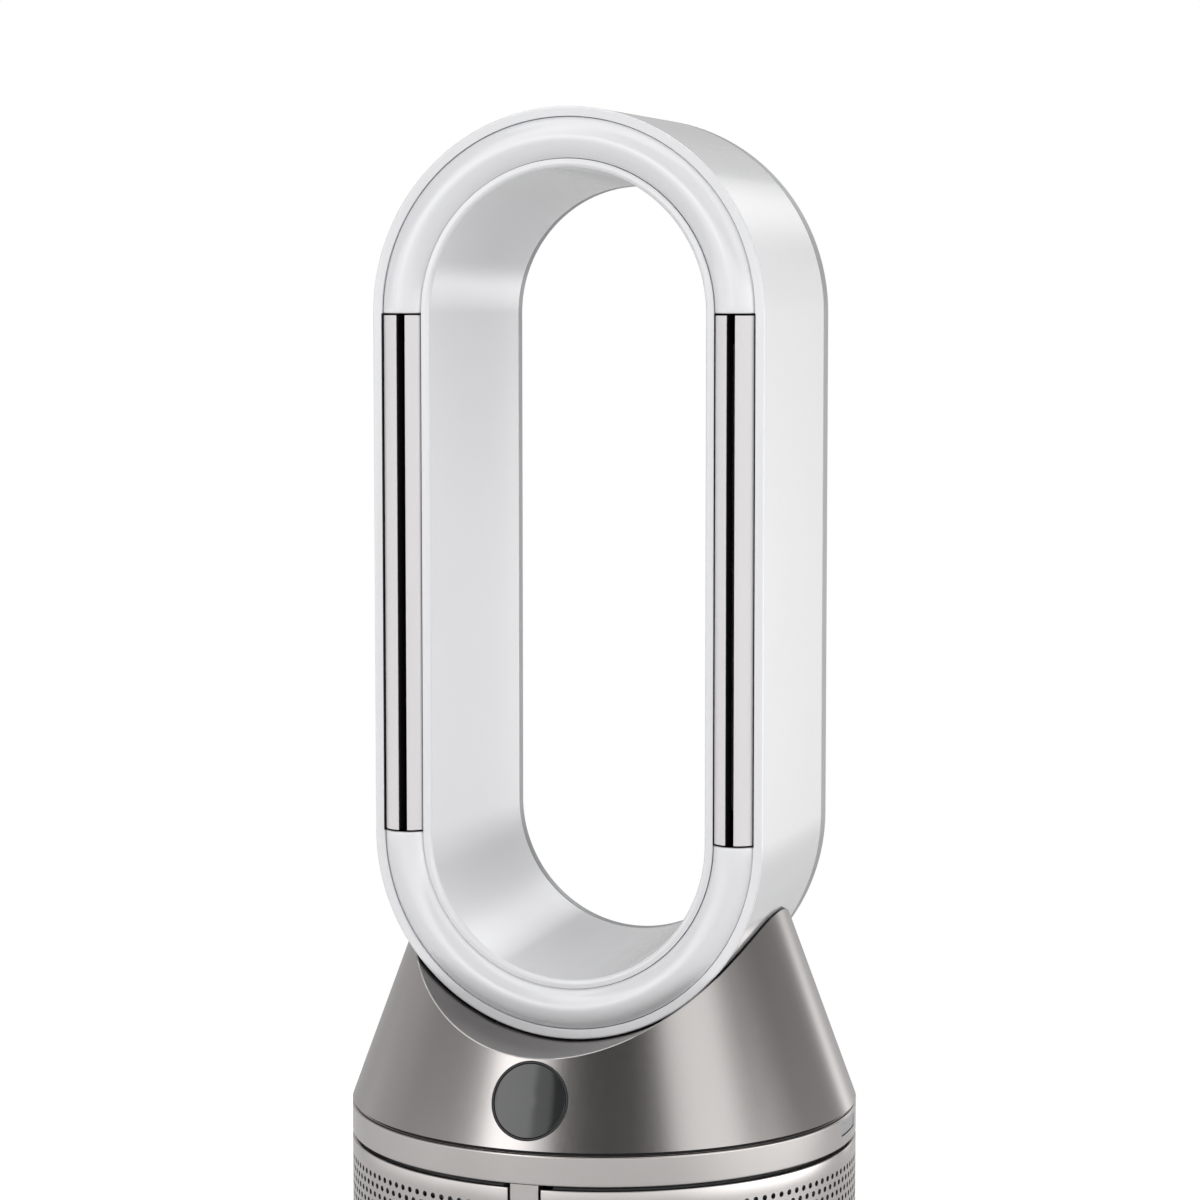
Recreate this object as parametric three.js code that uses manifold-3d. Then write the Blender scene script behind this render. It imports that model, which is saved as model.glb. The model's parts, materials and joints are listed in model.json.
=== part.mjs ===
// A bladeless fan: an oval outlet loop that stands in a saddle on a conical, filtered base.
// Millimetres, +Z up, the front faces -Y, and the origin is the middle of the footprint.
import * as THREE from 'three';
import { mergeVertices } from 'three/addons/utils/BufferGeometryUtils.js';
import Module from 'manifold-3d';

const wasm = await Module();
wasm.setup();

// ---------------------------------------------------------------- fits
const FIT = 0.3; // gap between pieces that are fixed to each other
const RUN = 0.8; // gap beside pieces that move
const SEAM = 2; // shadow line between the big outer shells

// ---------------------------------------------------------------- outlet loop
const LOOP_RADIUS = 96.4; // outer flank of the loop, from the centre line
const LOOP_STRAIGHT = 248; // straight length between the two half circles
const LOOP_FRONT = -61.3; // front face of the rims
const LOOP_REAR = 62.8; // back face of the rear casing
const LOOP_WALL = 2.2;
const OUTER_RIM = 4.9; // width of the rim outside the outlet band
const BAND_WIDTH = 19.1; // the convex band between the two grooves
const INNER_RIM = 4.3; // width of the rim inside the outlet band
const BORE_TAPER = 5.1; // the bore narrows by this much towards the back
const RIM_ROUND = 3; // rounding of the outer rim
const LIP_ROUND = 2; // rounding of the bore's front lip
const LIP_DEPTH = 9; // how far the rims turn back beside the band
const LIP_WALL = 1.2;
const GROOVE_GAP = 0.45; // the thin groove on each side of the band
const BAND_EDGE = 1.5; // the band's edges lie this far behind the rims
const BAND_RISE = 5; // how far the band bulges forward from its edges
const BAND_WALL = 2.4;
const SLOT_WIDTH = 4; // the air slot between two nozzle plates
const SLOT_OFFSET = 0.75; // the slot lies this far inward of the band's middle
const SLOT_LIP = 9; // depth of the lips on both sides of the slot
const SLOT_LIP_WALL = 1.68;
const PLATE_SEAM = 0.8; // gap at each end of a nozzle plate
const REAR_OUTER_DEPTH = 10.2; // the rear casing's depth on the flank
const REAR_INNER_DEPTH = 6; // the rear casing's depth inside the bore
const REAR_ROUND = 1.4;
const REAR_SLOT_WIDTH = 5; // rear air slots
const REAR_SLOT_LENGTH = 210;
const HEATER_SIZE = new THREE.Vector3(13, 24, 220);
const HEATER_Y = -28;
const HEATER_FINS = 8;
const FIN_GROOVE = 3;
const FIN_ROOT = 2; // solid edge on each side of the heater's fins
const BAFFLE_LENGTH = 216;
const BAFFLE_WIDTH = 18;
const BAFFLE_THICKNESS = 2;
const BAFFLE_SHAFT = 2; // radius
const BAFFLE_STUB = 4; // how far the shaft stands out at each end
const BAFFLE_Y = 22;
const BAFFLE_MOTOR_RADIUS = 7.5;
const BAFFLE_MOTOR_HEIGHT = 12;

// ---------------------------------------------------------------- foot and turntable
const BODY_RADIUS = 124; // the widest radius, at the filter shrouds
const FOOT_INSET = 3; // the foot is this much narrower than the body, all round
const FOOT_HEIGHT = 16;
const FOOT_FLOOR = 3;
const FOOT_WALL = 3;
const PAD_COUNT = 6;
const PAD_RADIUS = 9;
const PAD_HEIGHT = 2;
const PAD_WEB = 4; // width of the ring that joins the pads
const PAD_INSET = 25; // from the foot's edge to the pads' middle
const TURN_GAP = 2; // gap between the foot and the turning body
const GLIDE_INSET = 29; // from the foot's edge to the glide ring's middle
const GLIDE_WIDTH = 8;
const GLIDE_HEIGHT = 2.2;
const HUB_RADIUS = 26;
const HUB_BORE = 12; // cable passage
const HUB_SLEEVE = 4; // wall of the sleeve that carries the gear and the nut
const NUT_HEIGHT = 5;
const NUT_RADIUS = 23;
const GEAR_MODULE = 2;
const GEAR_TEETH = 36;
const PINION_TEETH = 12;
const GEAR_WIDTH = 6;
const TIP_SHARE = 0.1; // half a tooth's width at its tip, as a share of the pitch
const ROOT_SHARE = 0.29; // the same at its root
const ADDENDUM = 0.8; // in modules
const DEDENDUM = 1.15; // in modules
const GLAND_RADIUS = 5;
const GLAND_BORE = 3.3;
const GLAND_LENGTH = 8;

// ---------------------------------------------------------------- turning body
const HOUSING_HEIGHT = 44;
const HOUSING_WALL = 2.5;
const HOUSING_FLOOR = 3;
const POST_INSET = 8; // from the carbon filters' inside to the posts that carry the chassis
const POST_RADIUS = 5;
const BUTTON_RADIUS = 7; // power button
const BUTTON_DEPTH = 6;
const BUTTON_TRAVEL = 1.5;
const BUTTON_RISE = 22; // height of the button above the housing's lower edge
const SWITCH_SIZE = new THREE.Vector3(10, 6, 12); // the switch behind the power button
const WINDOW_RADIUS = 3.5; // infrared receiver window
const WINDOW_RISE = 38;
const MOTOR_RADIUS = 12; // oscillation motor
const MOTOR_HEIGHT = 20;
const EAR_REACH = 9; // the motor's mounting ears
const EAR_WIDTH = 8;
const EAR_THICKNESS = 2;
const STUB_RADIUS = 2; // the pinion's stub shaft
const BRACKET_WALL = 5;
const BOARD_SIZE = new THREE.Vector3(60, 34, 1.6);
const BOARD_INSET = 38; // from the body's back to the middle of the main board
const BOARD_LIFT = 4; // above the housing's floor
const COIL = { radius: 7, height: 14, x: -18, y: 4 }; // parts on the main board
const CAPACITOR = { radius: 5, height: 20, x: 0, y: -6 };
const HEAT_SINK = { width: 16, depth: 10, height: 16, x: 18, y: 6 };
const SHROUD_HEIGHT = 200;
const SHROUD_WALL = 2.2;
const SPINE_WIDTH = 14; // the front and rear spines between the shrouds
const SPINE_DEPTH = 12;
const SPINE_GAP = 1; // shadow gap beside a spine
const VENT_ROWS = 2;
const VENT_COLUMNS = 12;
const VENT_WIDTH = 7;
const VENT_INSET = 10.5; // from a shroud's edge to the middle of its last vent
const VENT_MARGIN = 16; // solid band above, below and between the vents
const DECK = 3; // thickness of the chassis decks
const COLLAR_HEIGHT = 14;
const COLLAR_WALL = 2.5;
const SPIGOT_RISE = 2.5; // the ring that centres the cone
const LATCH_WIDTH = 24; // shroud release button
const LATCH_HEIGHT = 6;
const LATCH_DEPTH = 9;
const HEPA_GAP = 3.8; // between a shroud and its particle filter
const HEPA_DEPTH = 16;
const HEPA_PLEATS = 22;
const HEPA_SHEET = 2;
const HEPA_CAP = 4;
const HEPA_SINK = 1; // how far the paper reaches into the caps and stays clear of their edges
const CARBON_GAP = 5; // between the particle filter and the carbon filter
const CARBON_DEPTH = 13;
const FILTER_CLEARANCE = 2.2; // gap above the lower deck and under the upper one
const FILTER_END_ANGLE = THREE.MathUtils.degToRad(6.5); // between a filter's end and the fan's middle plane
const CAP_END_ANGLE = THREE.MathUtils.degToRad(5.85); // the same for the particle filter's caps

// ---------------------------------------------------------------- air mover
const BUCKET_RADIUS = 64;
const BUCKET_WALL = 2;
const BUCKET_LIFT = 27; // the inlet's height above the lower deck
const INLET_RADIUS = 48;
const INLET_LIP = 6; // the inlet's flare, in radius and in height
const FLANGE_RADIUS = 74;
const FLANGE = 2.5;
const IMPELLER_LIFT = 9; // above the inlet
const IMPELLER_HEIGHT = 38;
const IMPELLER_HUB = 38; // hub radius at its wide end
const IMPELLER_NOSE = 11;
const HUB_EDGE = 5; // height of the hub's nose and of its straight upper edge
const NOSE_FLARE = 8; // how much the hub widens over its nose
const BLADE_EDGE = 1; // the blades end this far below and above the hub's ends
const TIP_HEIGHT = 7; // height of the blades' upright tips
const IMPELLER_TIP = 4; // gap between the blades and the bucket
const BLADE_COUNT = 9;
const BLADE_THICKNESS = 1.8;
const BLADE_PITCH = THREE.MathUtils.degToRad(38); // from upright
const SHAFT_RADIUS = 3;
const SHAFT_LENGTH = 100;
const CAN_RADIUS = 38; // fan motor
const CAN_HEIGHT = 62;
const CAN_LIFT = 4; // above the impeller
const CAN_CHAMFER = 6;
const DIFFUSER_LIFT = 10; // above the motor's lower end
const VANE_COUNT = 11;
const VANE_THICKNESS = 2;
const VANE_HEIGHT = 26;
const RING_HEIGHT = 30; // of the rings that the vanes join
const RING_WALL = 2;
const TAIL_HEIGHT = 42;
const TAIL_MIDDLE = 30.4; // radius at half height
const TAIL_TIP = 9.5;
const NECK_LENGTH_X = 100;
const NECK_LENGTH_Y = 64;
const NECK_WALL = 2;
const NECK_CORNER = 12;
const SEAL_WIDTH = 8; // the foam frame round the neck

// ---------------------------------------------------------------- cone and saddle
const CONE_SLOPE = 0.367; // radius lost for each millimetre of height
const CONE_WALL = 2.5;
const LOOP_RAISE = 135.5; // the lower half circle's centre above the cone's rim
const SADDLE_GAP = 1.2; // between the loop and the saddle
const SADDLE_RISE = 2.6; // the saddle's floor rises by this much towards its edge
const DISPLAY_RADIUS = 17.5;
const DISPLAY_RISE = 21.5; // centre of the display above the cone's rim
const BEZEL_WIDTH = 0.8;
const LENS_THICKNESS = 2;
const BEZEL_THICKNESS = 3.4;
const MODULE_SIZE = new THREE.Vector3(26, 26, 3);
const CONNECTOR_SIZE = new THREE.Vector3(13, 6.5, 6); // the plug on the module's back
const MODULE_SINK = 10; // the module's depth below the cone's surface

// ---------------------------------------------------------------- screws
const SCREW_RADIUS = 1.7;
const SCREW_HEAD = 3.2;
const SCREW_HEAD_HEIGHT = 2;
const SCREW_LENGTH = 12;
const SCREW_CLEARANCE = 0.4;

// ---------------------------------------------------------------- smoothness
const OUTER_STEPS = 48; // steps round the big outer shells
const INNER_STEPS = 28; // steps round the hidden round pieces
const SMALL_STEPS = 12; // steps round buttons, pins and posts
const SCREW_STEPS = 8;
const ARC_STEPS = 16; // steps round each half circle of the loop
const CONE_STEPS = 60; // steps round the cone and its saddle
const BLADE_STEPS = 18; // steps round the impeller's hub and its blades' tips
const FILTER_STEPS = 6; // steps round each arc of a half filter
const CORNER_STEPS = 3; // steps round the corners of the neck and of the loop's outlines

// ---------------------------------------------------------------- heights that follow
const footTop = PAD_HEIGHT + FOOT_HEIGHT;
const housingZ = footTop + TURN_GAP;
const housingTop = housingZ + HOUSING_HEIGHT;
const floorTop = housingZ + HOUSING_FLOOR;
const deckZ = housingTop + FIT;
const deckTop = deckZ + DECK;
const shroudZ = housingTop + SEAM;
const shroudTop = shroudZ + SHROUD_HEIGHT;
const collarZ = shroudTop + SEAM;
const collarTop = collarZ + COLLAR_HEIGHT;
const upperDeckTop = collarZ + DECK;
const coneZ = collarTop + SEAM;
const loopLowZ = coneZ + LOOP_RAISE;
const loopMiddleZ = loopLowZ + LOOP_STRAIGHT / 2;
const bucketZ = deckTop + BUCKET_LIFT;
const bucketFlangeZ = upperDeckTop + FIT;
const neckZ = bucketFlangeZ + FLANGE + FIT;
const impellerZ = bucketZ + IMPELLER_LIFT;
const canZ = impellerZ + IMPELLER_HEIGHT + CAN_LIFT;
const filterZ = deckTop + FILTER_CLEARANCE;
const filterHeight = collarZ - FILTER_CLEARANCE - filterZ;
const gearZ = floorTop + RUN;
const nutZ = gearZ + GEAR_WIDTH + FIT;

// ---------------------------------------------------------------- radii that follow
const outerGroove = LOOP_RADIUS - OUTER_RIM;
const innerGroove = outerGroove - BAND_WIDTH;
const boreFront = innerGroove - INNER_RIM;
const bandMiddle = (outerGroove + innerGroove) / 2;
const slotMiddle = bandMiddle - SLOT_OFFSET;
const footRadius = BODY_RADIUS - FOOT_INSET;
const padCircle = footRadius - PAD_INSET;
const glideRadius = footRadius - GLIDE_INSET;
const innerBodyRadius = BODY_RADIUS - SHROUD_WALL - RUN;
const hepaOuter = BODY_RADIUS - SHROUD_WALL - HEPA_GAP;
const hepaInner = hepaOuter - HEPA_DEPTH;
const carbonOuter = hepaInner - CARBON_GAP;
const carbonInner = carbonOuter - CARBON_DEPTH;
const postCircle = carbonInner - POST_INSET;
const boardY = BODY_RADIUS - BOARD_INSET;
const gearPitch = (GEAR_MODULE * GEAR_TEETH) / 2;
const pinionPitch = (GEAR_MODULE * PINION_TEETH) / 2;
const pinionDistance = gearPitch + pinionPitch;
const earLength = (MOTOR_RADIUS + EAR_REACH) * 2;
const sleeveRadius = HUB_BORE + HUB_SLEEVE;
const neckScrewCircle = (BUCKET_RADIUS + FLANGE_RADIUS) / 2;
const bucketInner = BUCKET_RADIUS - BUCKET_WALL;

// ---------------------------------------------------------------- finishes
const gloss = { color: 0xe9e9ea, roughness: 0.18, metalness: 0 };
const pearl = { color: 0xe2dedf, roughness: 0.2, metalness: 0.35 };
const silver = { color: 0xb4b5b7, roughness: 0.35, metalness: 0.6 };
const nickel = { color: 0xa09b97, roughness: 0.34, metalness: 0.9 };
const rubber = { color: 0x1c1c1d, roughness: 0.85, metalness: 0 };
const darkPlastic = { color: 0x2b2c2e, roughness: 0.55, metalness: 0 };
const greyPlastic = { color: 0x75787b, roughness: 0.5, metalness: 0 };
const glass = { color: 0x3a3c3e, roughness: 0.08, metalness: 0 };
const steel = { color: 0x9b9da0, roughness: 0.35, metalness: 1 };
const nylon = { color: 0xe8e6dd, roughness: 0.5, metalness: 0 };
const paper = { color: 0xdfe4e6, roughness: 0.95, metalness: 0 };
const charcoal = { color: 0x202122, roughness: 1, metalness: 0 };
const board = { color: 0x1f5a38, roughness: 0.6, metalness: 0 };
const ceramic = { color: 0xb9b2a4, roughness: 0.7, metalness: 0.1 };

// ================================================================ geometry helpers

// A closed geometry as a solid: shared corners, no empty triangles, faces outward.
function solid(geometry) {
  const bare = geometry.clone();
  bare.deleteAttribute('normal');
  bare.deleteAttribute('uv');
  const merged = mergeVertices(bare, 1e-4);
  const corners = merged.getAttribute('position');
  const triangles = [];
  let volume = 0;
  const a = new THREE.Vector3();
  const b = new THREE.Vector3();
  const c = new THREE.Vector3();
  for (let i = 0; i < merged.index.count; i += 3) {
    const [p, q, r] = [0, 1, 2].map((k) => merged.index.getX(i + k));
    if (p === q || q === r || r === p) continue;
    triangles.push([p, q, r]);
    a.fromBufferAttribute(corners, p);
    b.fromBufferAttribute(corners, q);
    c.fromBufferAttribute(corners, r);
    volume += a.dot(b.cross(c));
  }
  const outward = volume < 0 ? triangles.map(([p, q, r]) => [p, r, q]) : triangles;
  return new wasm.Manifold(new wasm.Mesh({
    numProp: 3,
    vertProperties: new Float32Array(corners.array),
    triVerts: new Uint32Array(outward.flat()),
  }));
}

function geometryOf(manifold) {
  const mesh = manifold.getMesh();
  const geometry = new THREE.BufferGeometry();
  geometry.setAttribute('position', new THREE.BufferAttribute(new Float32Array(mesh.vertProperties), 3));
  geometry.setIndex(new THREE.BufferAttribute(new Uint32Array(mesh.triVerts), 1));
  geometry.computeVertexNormals();
  return geometry;
}

function join(...pieces) {
  return geometryOf(pieces.map(solid).reduce((sum, piece) => sum.add(piece)));
}

function cut(body, ...tools) {
  return geometryOf(tools.map(solid).reduce((rest, tool) => rest.subtract(tool), solid(body)));
}

function common(body, other) {
  return geometryOf(solid(body).intersect(solid(other)));
}

// A ring or disc turned round Z from [radius, height] corners; it closes on itself.
function turned(corners, steps) {
  const points = corners.map(([radius, height]) => new THREE.Vector2(radius, height));
  const first = points[0];
  const onAxis = first.x === 0 && points[points.length - 1].x === 0;
  if (!onAxis) points.push(first.clone());
  return geometryOf(solid(new THREE.LatheGeometry(points, steps).rotateX(Math.PI / 2)));
}

function ring(inner, outer, height, steps) {
  return turned([[inner, 0], [outer, 0], [outer, height], [inner, height]], steps);
}

function rod(radius, height, steps) {
  return new THREE.CylinderGeometry(radius, radius, height, steps)
    .rotateX(Math.PI / 2)
    .translate(0, 0, height / 2);
}

// A box that stands on z = 0, centred on the Z axis.
function block(width, depth, height) {
  return new THREE.BoxGeometry(width, depth, height).translate(0, 0, height / 2);
}

function prism(shape, height, curveSegments) {
  return new THREE.ExtrudeGeometry(shape, { depth: height, bevelEnabled: false, curveSegments });
}

// The same geometry at equal angles round Z.
function around(count, geometry, offset = 0) {
  const turn = (2 * Math.PI) / count;
  return Array.from({ length: count }, (_, i) => geometry.clone().rotateZ(offset + i * turn));
}

function roundedRectangle(width, depth, corner) {
  const x = width / 2;
  const y = depth / 2;
  const quarter = Math.PI / 2;
  const shape = new THREE.Shape();
  shape.absarc(x - corner, y - corner, corner, 0, quarter, false);
  shape.absarc(corner - x, y - corner, corner, quarter, 2 * quarter, false);
  shape.absarc(corner - x, corner - y, corner, 2 * quarter, 3 * quarter, false);
  shape.absarc(x - corner, corner - y, corner, 3 * quarter, 4 * quarter, false);
  return shape;
}

// Half of an upright ring between two radii, open by endAngle at both ends; centred on +X.
function halfRingShape(inner, outer, endAngle) {
  const reach = Math.PI / 2 - endAngle;
  const shape = new THREE.Shape();
  shape.absarc(0, 0, outer, -reach, reach, false);
  shape.absarc(0, 0, inner, reach, -reach, true);
  shape.closePath();
  return shape;
}

// ================================================================ sweep round the loop

// Stations on one half circle of the loop; side is +1 for the top and -1 for the bottom.
function halfStations(side) {
  return Array.from({ length: ARC_STEPS + 1 }, (_, i) => {
    const angle = (i / ARC_STEPS) * Math.PI + (side > 0 ? 0 : Math.PI);
    return { z: (side * LOOP_STRAIGHT) / 2, cos: Math.cos(angle), sin: Math.sin(angle) };
  });
}

// Sweeps a closed outline, given in (distance from the centre line, y), along the stations.
function sweep(shape, stations, closed) {
  const outline = shape.getPoints(2);
  if (outline[0].distanceTo(outline[outline.length - 1]) < 1e-6) outline.pop();
  const count = outline.length;
  const positions = stations.flatMap(({ z, cos, sin }) =>
    outline.flatMap((point) => [point.x * cos, point.y, z + point.x * sin]));
  const index = [];
  const spans = closed ? stations.length : stations.length - 1;
  for (let i = 0; i < spans; i += 1) {
    const here = i * count;
    const next = ((i + 1) % stations.length) * count;
    for (let k = 0; k < count; k += 1) {
      const l = (k + 1) % count;
      index.push(here + k, here + l, next + l, here + k, next + l, next + k);
    }
  }
  if (!closed) index.push(...sweepCaps(outline, (stations.length - 1) * count));
  const geometry = new THREE.BufferGeometry();
  geometry.setAttribute('position', new THREE.Float32BufferAttribute(positions, 3));
  geometry.setIndex(index);
  return geometryOf(solid(geometry));
}

// End caps of an open sweep: the first one against the outline's direction, the last along it.
function sweepCaps(outline, lastRing) {
  const clockwise = THREE.ShapeUtils.isClockWise(outline);
  const area = (t) => THREE.ShapeUtils.area(t.map((k) => outline[k]));
  const faces = THREE.ShapeUtils.triangulateShape(outline, []).map((t) =>
    ((area(t) < 0) === clockwise ? t : [t[0], t[2], t[1]]));
  const first = faces.flatMap(([p, q, r]) => [p, r, q]);
  const last = faces.flatMap((t) => t.map((k) => k + lastRing));
  return [...first, ...last];
}

function loopRing(shape) {
  return sweep(shape, [...halfStations(1), ...halfStations(-1)], true);
}

// A bar along the loop's straight side, from the same kind of outline; it stands on z = 0.
function loopBar(shape, length) {
  return prism(shape, length, CORNER_STEPS);
}

// ================================================================ outlines of the loop

// The bore's radius narrows evenly from the front lip to the back.
function boreRadius(y) {
  return boreFront - (BORE_TAPER * (y - LOOP_FRONT)) / (LOOP_REAR - LOOP_FRONT);
}

function outerCasingShape() {
  const seamY = LOOP_REAR - REAR_OUTER_DEPTH;
  const inside = LOOP_RADIUS - LOOP_WALL;
  const lipEnd = LOOP_FRONT + LIP_DEPTH;
  const lip = outerGroove + GROOVE_GAP / 2;
  const shape = new THREE.Shape();
  shape.moveTo(LOOP_RADIUS, seamY);
  shape.lineTo(LOOP_RADIUS, LOOP_FRONT + RIM_ROUND);
  shape.absarc(LOOP_RADIUS - RIM_ROUND, LOOP_FRONT + RIM_ROUND, RIM_ROUND, 0, -Math.PI / 2, true);
  shape.lineTo(lip, LOOP_FRONT + GROOVE_GAP);
  shape.lineTo(lip, lipEnd);
  shape.lineTo(lip + LIP_WALL, lipEnd);
  shape.lineTo(lip + LIP_WALL, LOOP_FRONT + LOOP_WALL);
  shape.lineTo(inside, LOOP_FRONT + RIM_ROUND);
  shape.lineTo(inside, seamY);
  shape.closePath();
  return shape;
}

function innerCasingShape() {
  const seamY = LOOP_REAR - REAR_INNER_DEPTH;
  const lipEnd = LOOP_FRONT + LIP_DEPTH;
  const lip = innerGroove - GROOVE_GAP / 2;
  const roundY = LOOP_FRONT + LIP_ROUND;
  const shape = new THREE.Shape();
  shape.moveTo(lip, lipEnd);
  shape.lineTo(lip, LOOP_FRONT + GROOVE_GAP);
  shape.lineTo(boreFront + LIP_ROUND, LOOP_FRONT);
  shape.absarc(boreFront + LIP_ROUND, roundY, LIP_ROUND, -Math.PI / 2, -Math.PI, true);
  shape.lineTo(boreRadius(seamY), seamY);
  shape.lineTo(boreRadius(seamY) + LOOP_WALL, seamY);
  shape.lineTo(boreFront + LOOP_WALL, LOOP_FRONT + LIP_DEPTH);
  shape.closePath();
  return shape;
}

function rearCasingShape() {
  const outerSeam = LOOP_REAR - REAR_OUTER_DEPTH + FIT;
  const innerSeam = LOOP_REAR - REAR_INNER_DEPTH + FIT;
  const bore = boreRadius(LOOP_REAR);
  const shape = new THREE.Shape();
  shape.moveTo(LOOP_RADIUS, outerSeam);
  shape.lineTo(LOOP_RADIUS, LOOP_REAR - REAR_ROUND);
  shape.lineTo(LOOP_RADIUS - REAR_ROUND, LOOP_REAR);
  shape.lineTo(bore + REAR_ROUND, LOOP_REAR);
  shape.lineTo(bore, LOOP_REAR - REAR_ROUND);
  shape.lineTo(boreRadius(innerSeam), innerSeam);
  shape.lineTo(boreRadius(innerSeam) + LOOP_WALL, innerSeam);
  shape.lineTo(boreRadius(innerSeam) + LOOP_WALL, LOOP_REAR - LOOP_WALL);
  shape.lineTo(LOOP_RADIUS - LOOP_WALL, LOOP_REAR - LOOP_WALL);
  shape.lineTo(LOOP_RADIUS - LOOP_WALL, outerSeam);
  shape.closePath();
  return shape;
}

// The circle on which the band's convex front lies.
function bandCircle() {
  const half = BAND_WIDTH / 2 - GROOVE_GAP / 2;
  const radius = (half * half + BAND_RISE * BAND_RISE) / (2 * BAND_RISE);
  const y = LOOP_FRONT + BAND_EDGE - BAND_RISE + radius;
  return { half, radius, y };
}

// The angle on a circle round the band's middle at which it reaches the distance s.
function bandAngle(s, radius) {
  return -Math.acos(THREE.MathUtils.clamp((s - bandMiddle) / radius, -1, 1));
}

// The full band, as over the two half circles.
function bandShape() {
  const { half, radius, y } = bandCircle();
  const low = bandMiddle - half;
  const high = bandMiddle + half;
  const inner = radius - BAND_WALL;
  const shape = new THREE.Shape();
  shape.absarc(bandMiddle, y, radius, bandAngle(low, radius), bandAngle(high, radius), false);
  const spread = bandAngle(high, radius);
  shape.absarc(bandMiddle, y, inner, spread, -Math.PI - spread, true);
  shape.closePath();
  return shape;
}

// One side of the band beside the slot, with the lip that turns back into the loop.
function plateShape(outward) {
  const { half, radius, y } = bandCircle();
  const inner = radius - BAND_WALL;
  const direction = outward ? 1 : -1;
  const slotEdge = slotMiddle + (direction * SLOT_WIDTH) / 2;
  const lipEdge = slotEdge + direction * SLOT_LIP_WALL;
  const frontEdge = bandAngle(bandMiddle + direction * half, radius);
  const slotFront = bandAngle(slotEdge, radius);
  const lipFront = bandAngle(lipEdge, inner);
  const slotY = y + radius * Math.sin(slotFront);
  const shape = new THREE.Shape();
  shape.absarc(bandMiddle, y, radius, frontEdge, slotFront, outward);
  shape.lineTo(slotEdge, slotY + SLOT_LIP);
  shape.lineTo(lipEdge, slotY + SLOT_LIP);
  shape.absarc(bandMiddle, y, inner, lipFront, frontEdge, !outward);
  shape.closePath();
  return shape;
}

// ================================================================ foot and turntable

// One rubber moulding: round pads on a thin ring.
function footRing() {
  const height = PAD_HEIGHT - FIT;
  const pad = rod(PAD_RADIUS, height, SMALL_STEPS).translate(padCircle, 0, 0);
  const web = ring(padCircle - PAD_WEB / 2, padCircle + PAD_WEB / 2, height / 2, INNER_STEPS)
    .translate(0, 0, height / 2);
  return join(web, ...around(PAD_COUNT, pad, -Math.PI / 2));
}

function basePlate() {
  const low = PAD_HEIGHT;
  const floor = low + FOOT_FLOOR;
  const chamfer = FOOT_FLOOR;
  const tray = turned([
    [0, low],
    [footRadius - chamfer, low],
    [footRadius, low + chamfer],
    [footRadius, footTop],
    [footRadius - FOOT_WALL, footTop],
    [footRadius - FOOT_WALL, floor],
    [0, floor],
  ], OUTER_STEPS);
  const glandHole = rod(GLAND_RADIUS + FIT, FOOT_WALL * 4, SMALL_STEPS)
    .rotateX(-Math.PI / 2)
    .translate(0, footRadius - FOOT_WALL * 2, glandHeight());
  return cut(tray, glandHole);
}

function glandHeight() {
  return (PAD_HEIGHT + FOOT_FLOOR + footTop) / 2;
}

function cableGland() {
  const collar = GLAND_RADIUS - FIT;
  const back = footRadius - GLAND_LENGTH;
  return ring(GLAND_BORE, collar, GLAND_LENGTH - FIT * 2, SMALL_STEPS)
    .rotateX(-Math.PI / 2)
    .translate(0, back, glandHeight());
}

function glideTrack() {
  const height = footTop - PAD_HEIGHT - FOOT_FLOOR - FIT - GLIDE_HEIGHT / 2;
  return ring(glideRadius - GLIDE_WIDTH / 2, glideRadius + GLIDE_WIDTH / 2, height, INNER_STEPS)
    .translate(0, 0, PAD_HEIGHT + FOOT_FLOOR + FIT);
}

function glideRing() {
  const top = housingZ - FIT;
  const bottom = footTop - GLIDE_HEIGHT / 2 + FIT;
  return ring(glideRadius - GLIDE_WIDTH / 2, glideRadius + GLIDE_WIDTH / 2, top - bottom, INNER_STEPS)
    .translate(0, 0, bottom);
}

function turntableHub() {
  const bottom = PAD_HEIGHT + FOOT_FLOOR + FIT;
  const top = gearZ - FIT;
  return turned([
    [HUB_BORE, bottom],
    [HUB_RADIUS, bottom],
    [HUB_RADIUS, top],
    [sleeveRadius, top],
    [sleeveRadius, nutZ + NUT_HEIGHT],
    [HUB_BORE, nutZ + NUT_HEIGHT],
  ], INNER_STEPS);
}

// The hexagonal nut that holds the gear down on the hub.
function hubNut() {
  const nut = rod(NUT_RADIUS, NUT_HEIGHT, 6);
  return cut(nut, rod(sleeveRadius + FIT, NUT_HEIGHT * 3, INNER_STEPS).translate(0, 0, -NUT_HEIGHT));
}

// A spur gear's outline with straight-sided teeth; the first tooth points along +X.
function gearShape(teeth, offset) {
  const pitch = (GEAR_MODULE * teeth) / 2;
  const tip = pitch + ADDENDUM * GEAR_MODULE;
  const root = pitch - DEDENDUM * GEAR_MODULE;
  const step = (2 * Math.PI) / teeth;
  const tipHalf = step * TIP_SHARE;
  const rootHalf = step * ROOT_SHARE;
  const corner = (radius, angle) => new THREE.Vector2(radius * Math.cos(angle), radius * Math.sin(angle));
  const points = Array.from({ length: teeth }, (_, i) => {
    const angle = i * step + offset;
    return [
      corner(root, angle - rootHalf),
      corner(tip, angle - tipHalf),
      corner(tip, angle + tipHalf),
      corner(root, angle + rootHalf),
    ];
  });
  return new THREE.Shape(points.flat());
}

function fixedGear() {
  const shape = gearShape(GEAR_TEETH, 0);
  const hole = new THREE.Path();
  hole.absarc(0, 0, sleeveRadius + FIT, 0, 2 * Math.PI, true);
  shape.holes.push(hole);
  return prism(shape, GEAR_WIDTH, INNER_STEPS / 2);
}

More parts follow.
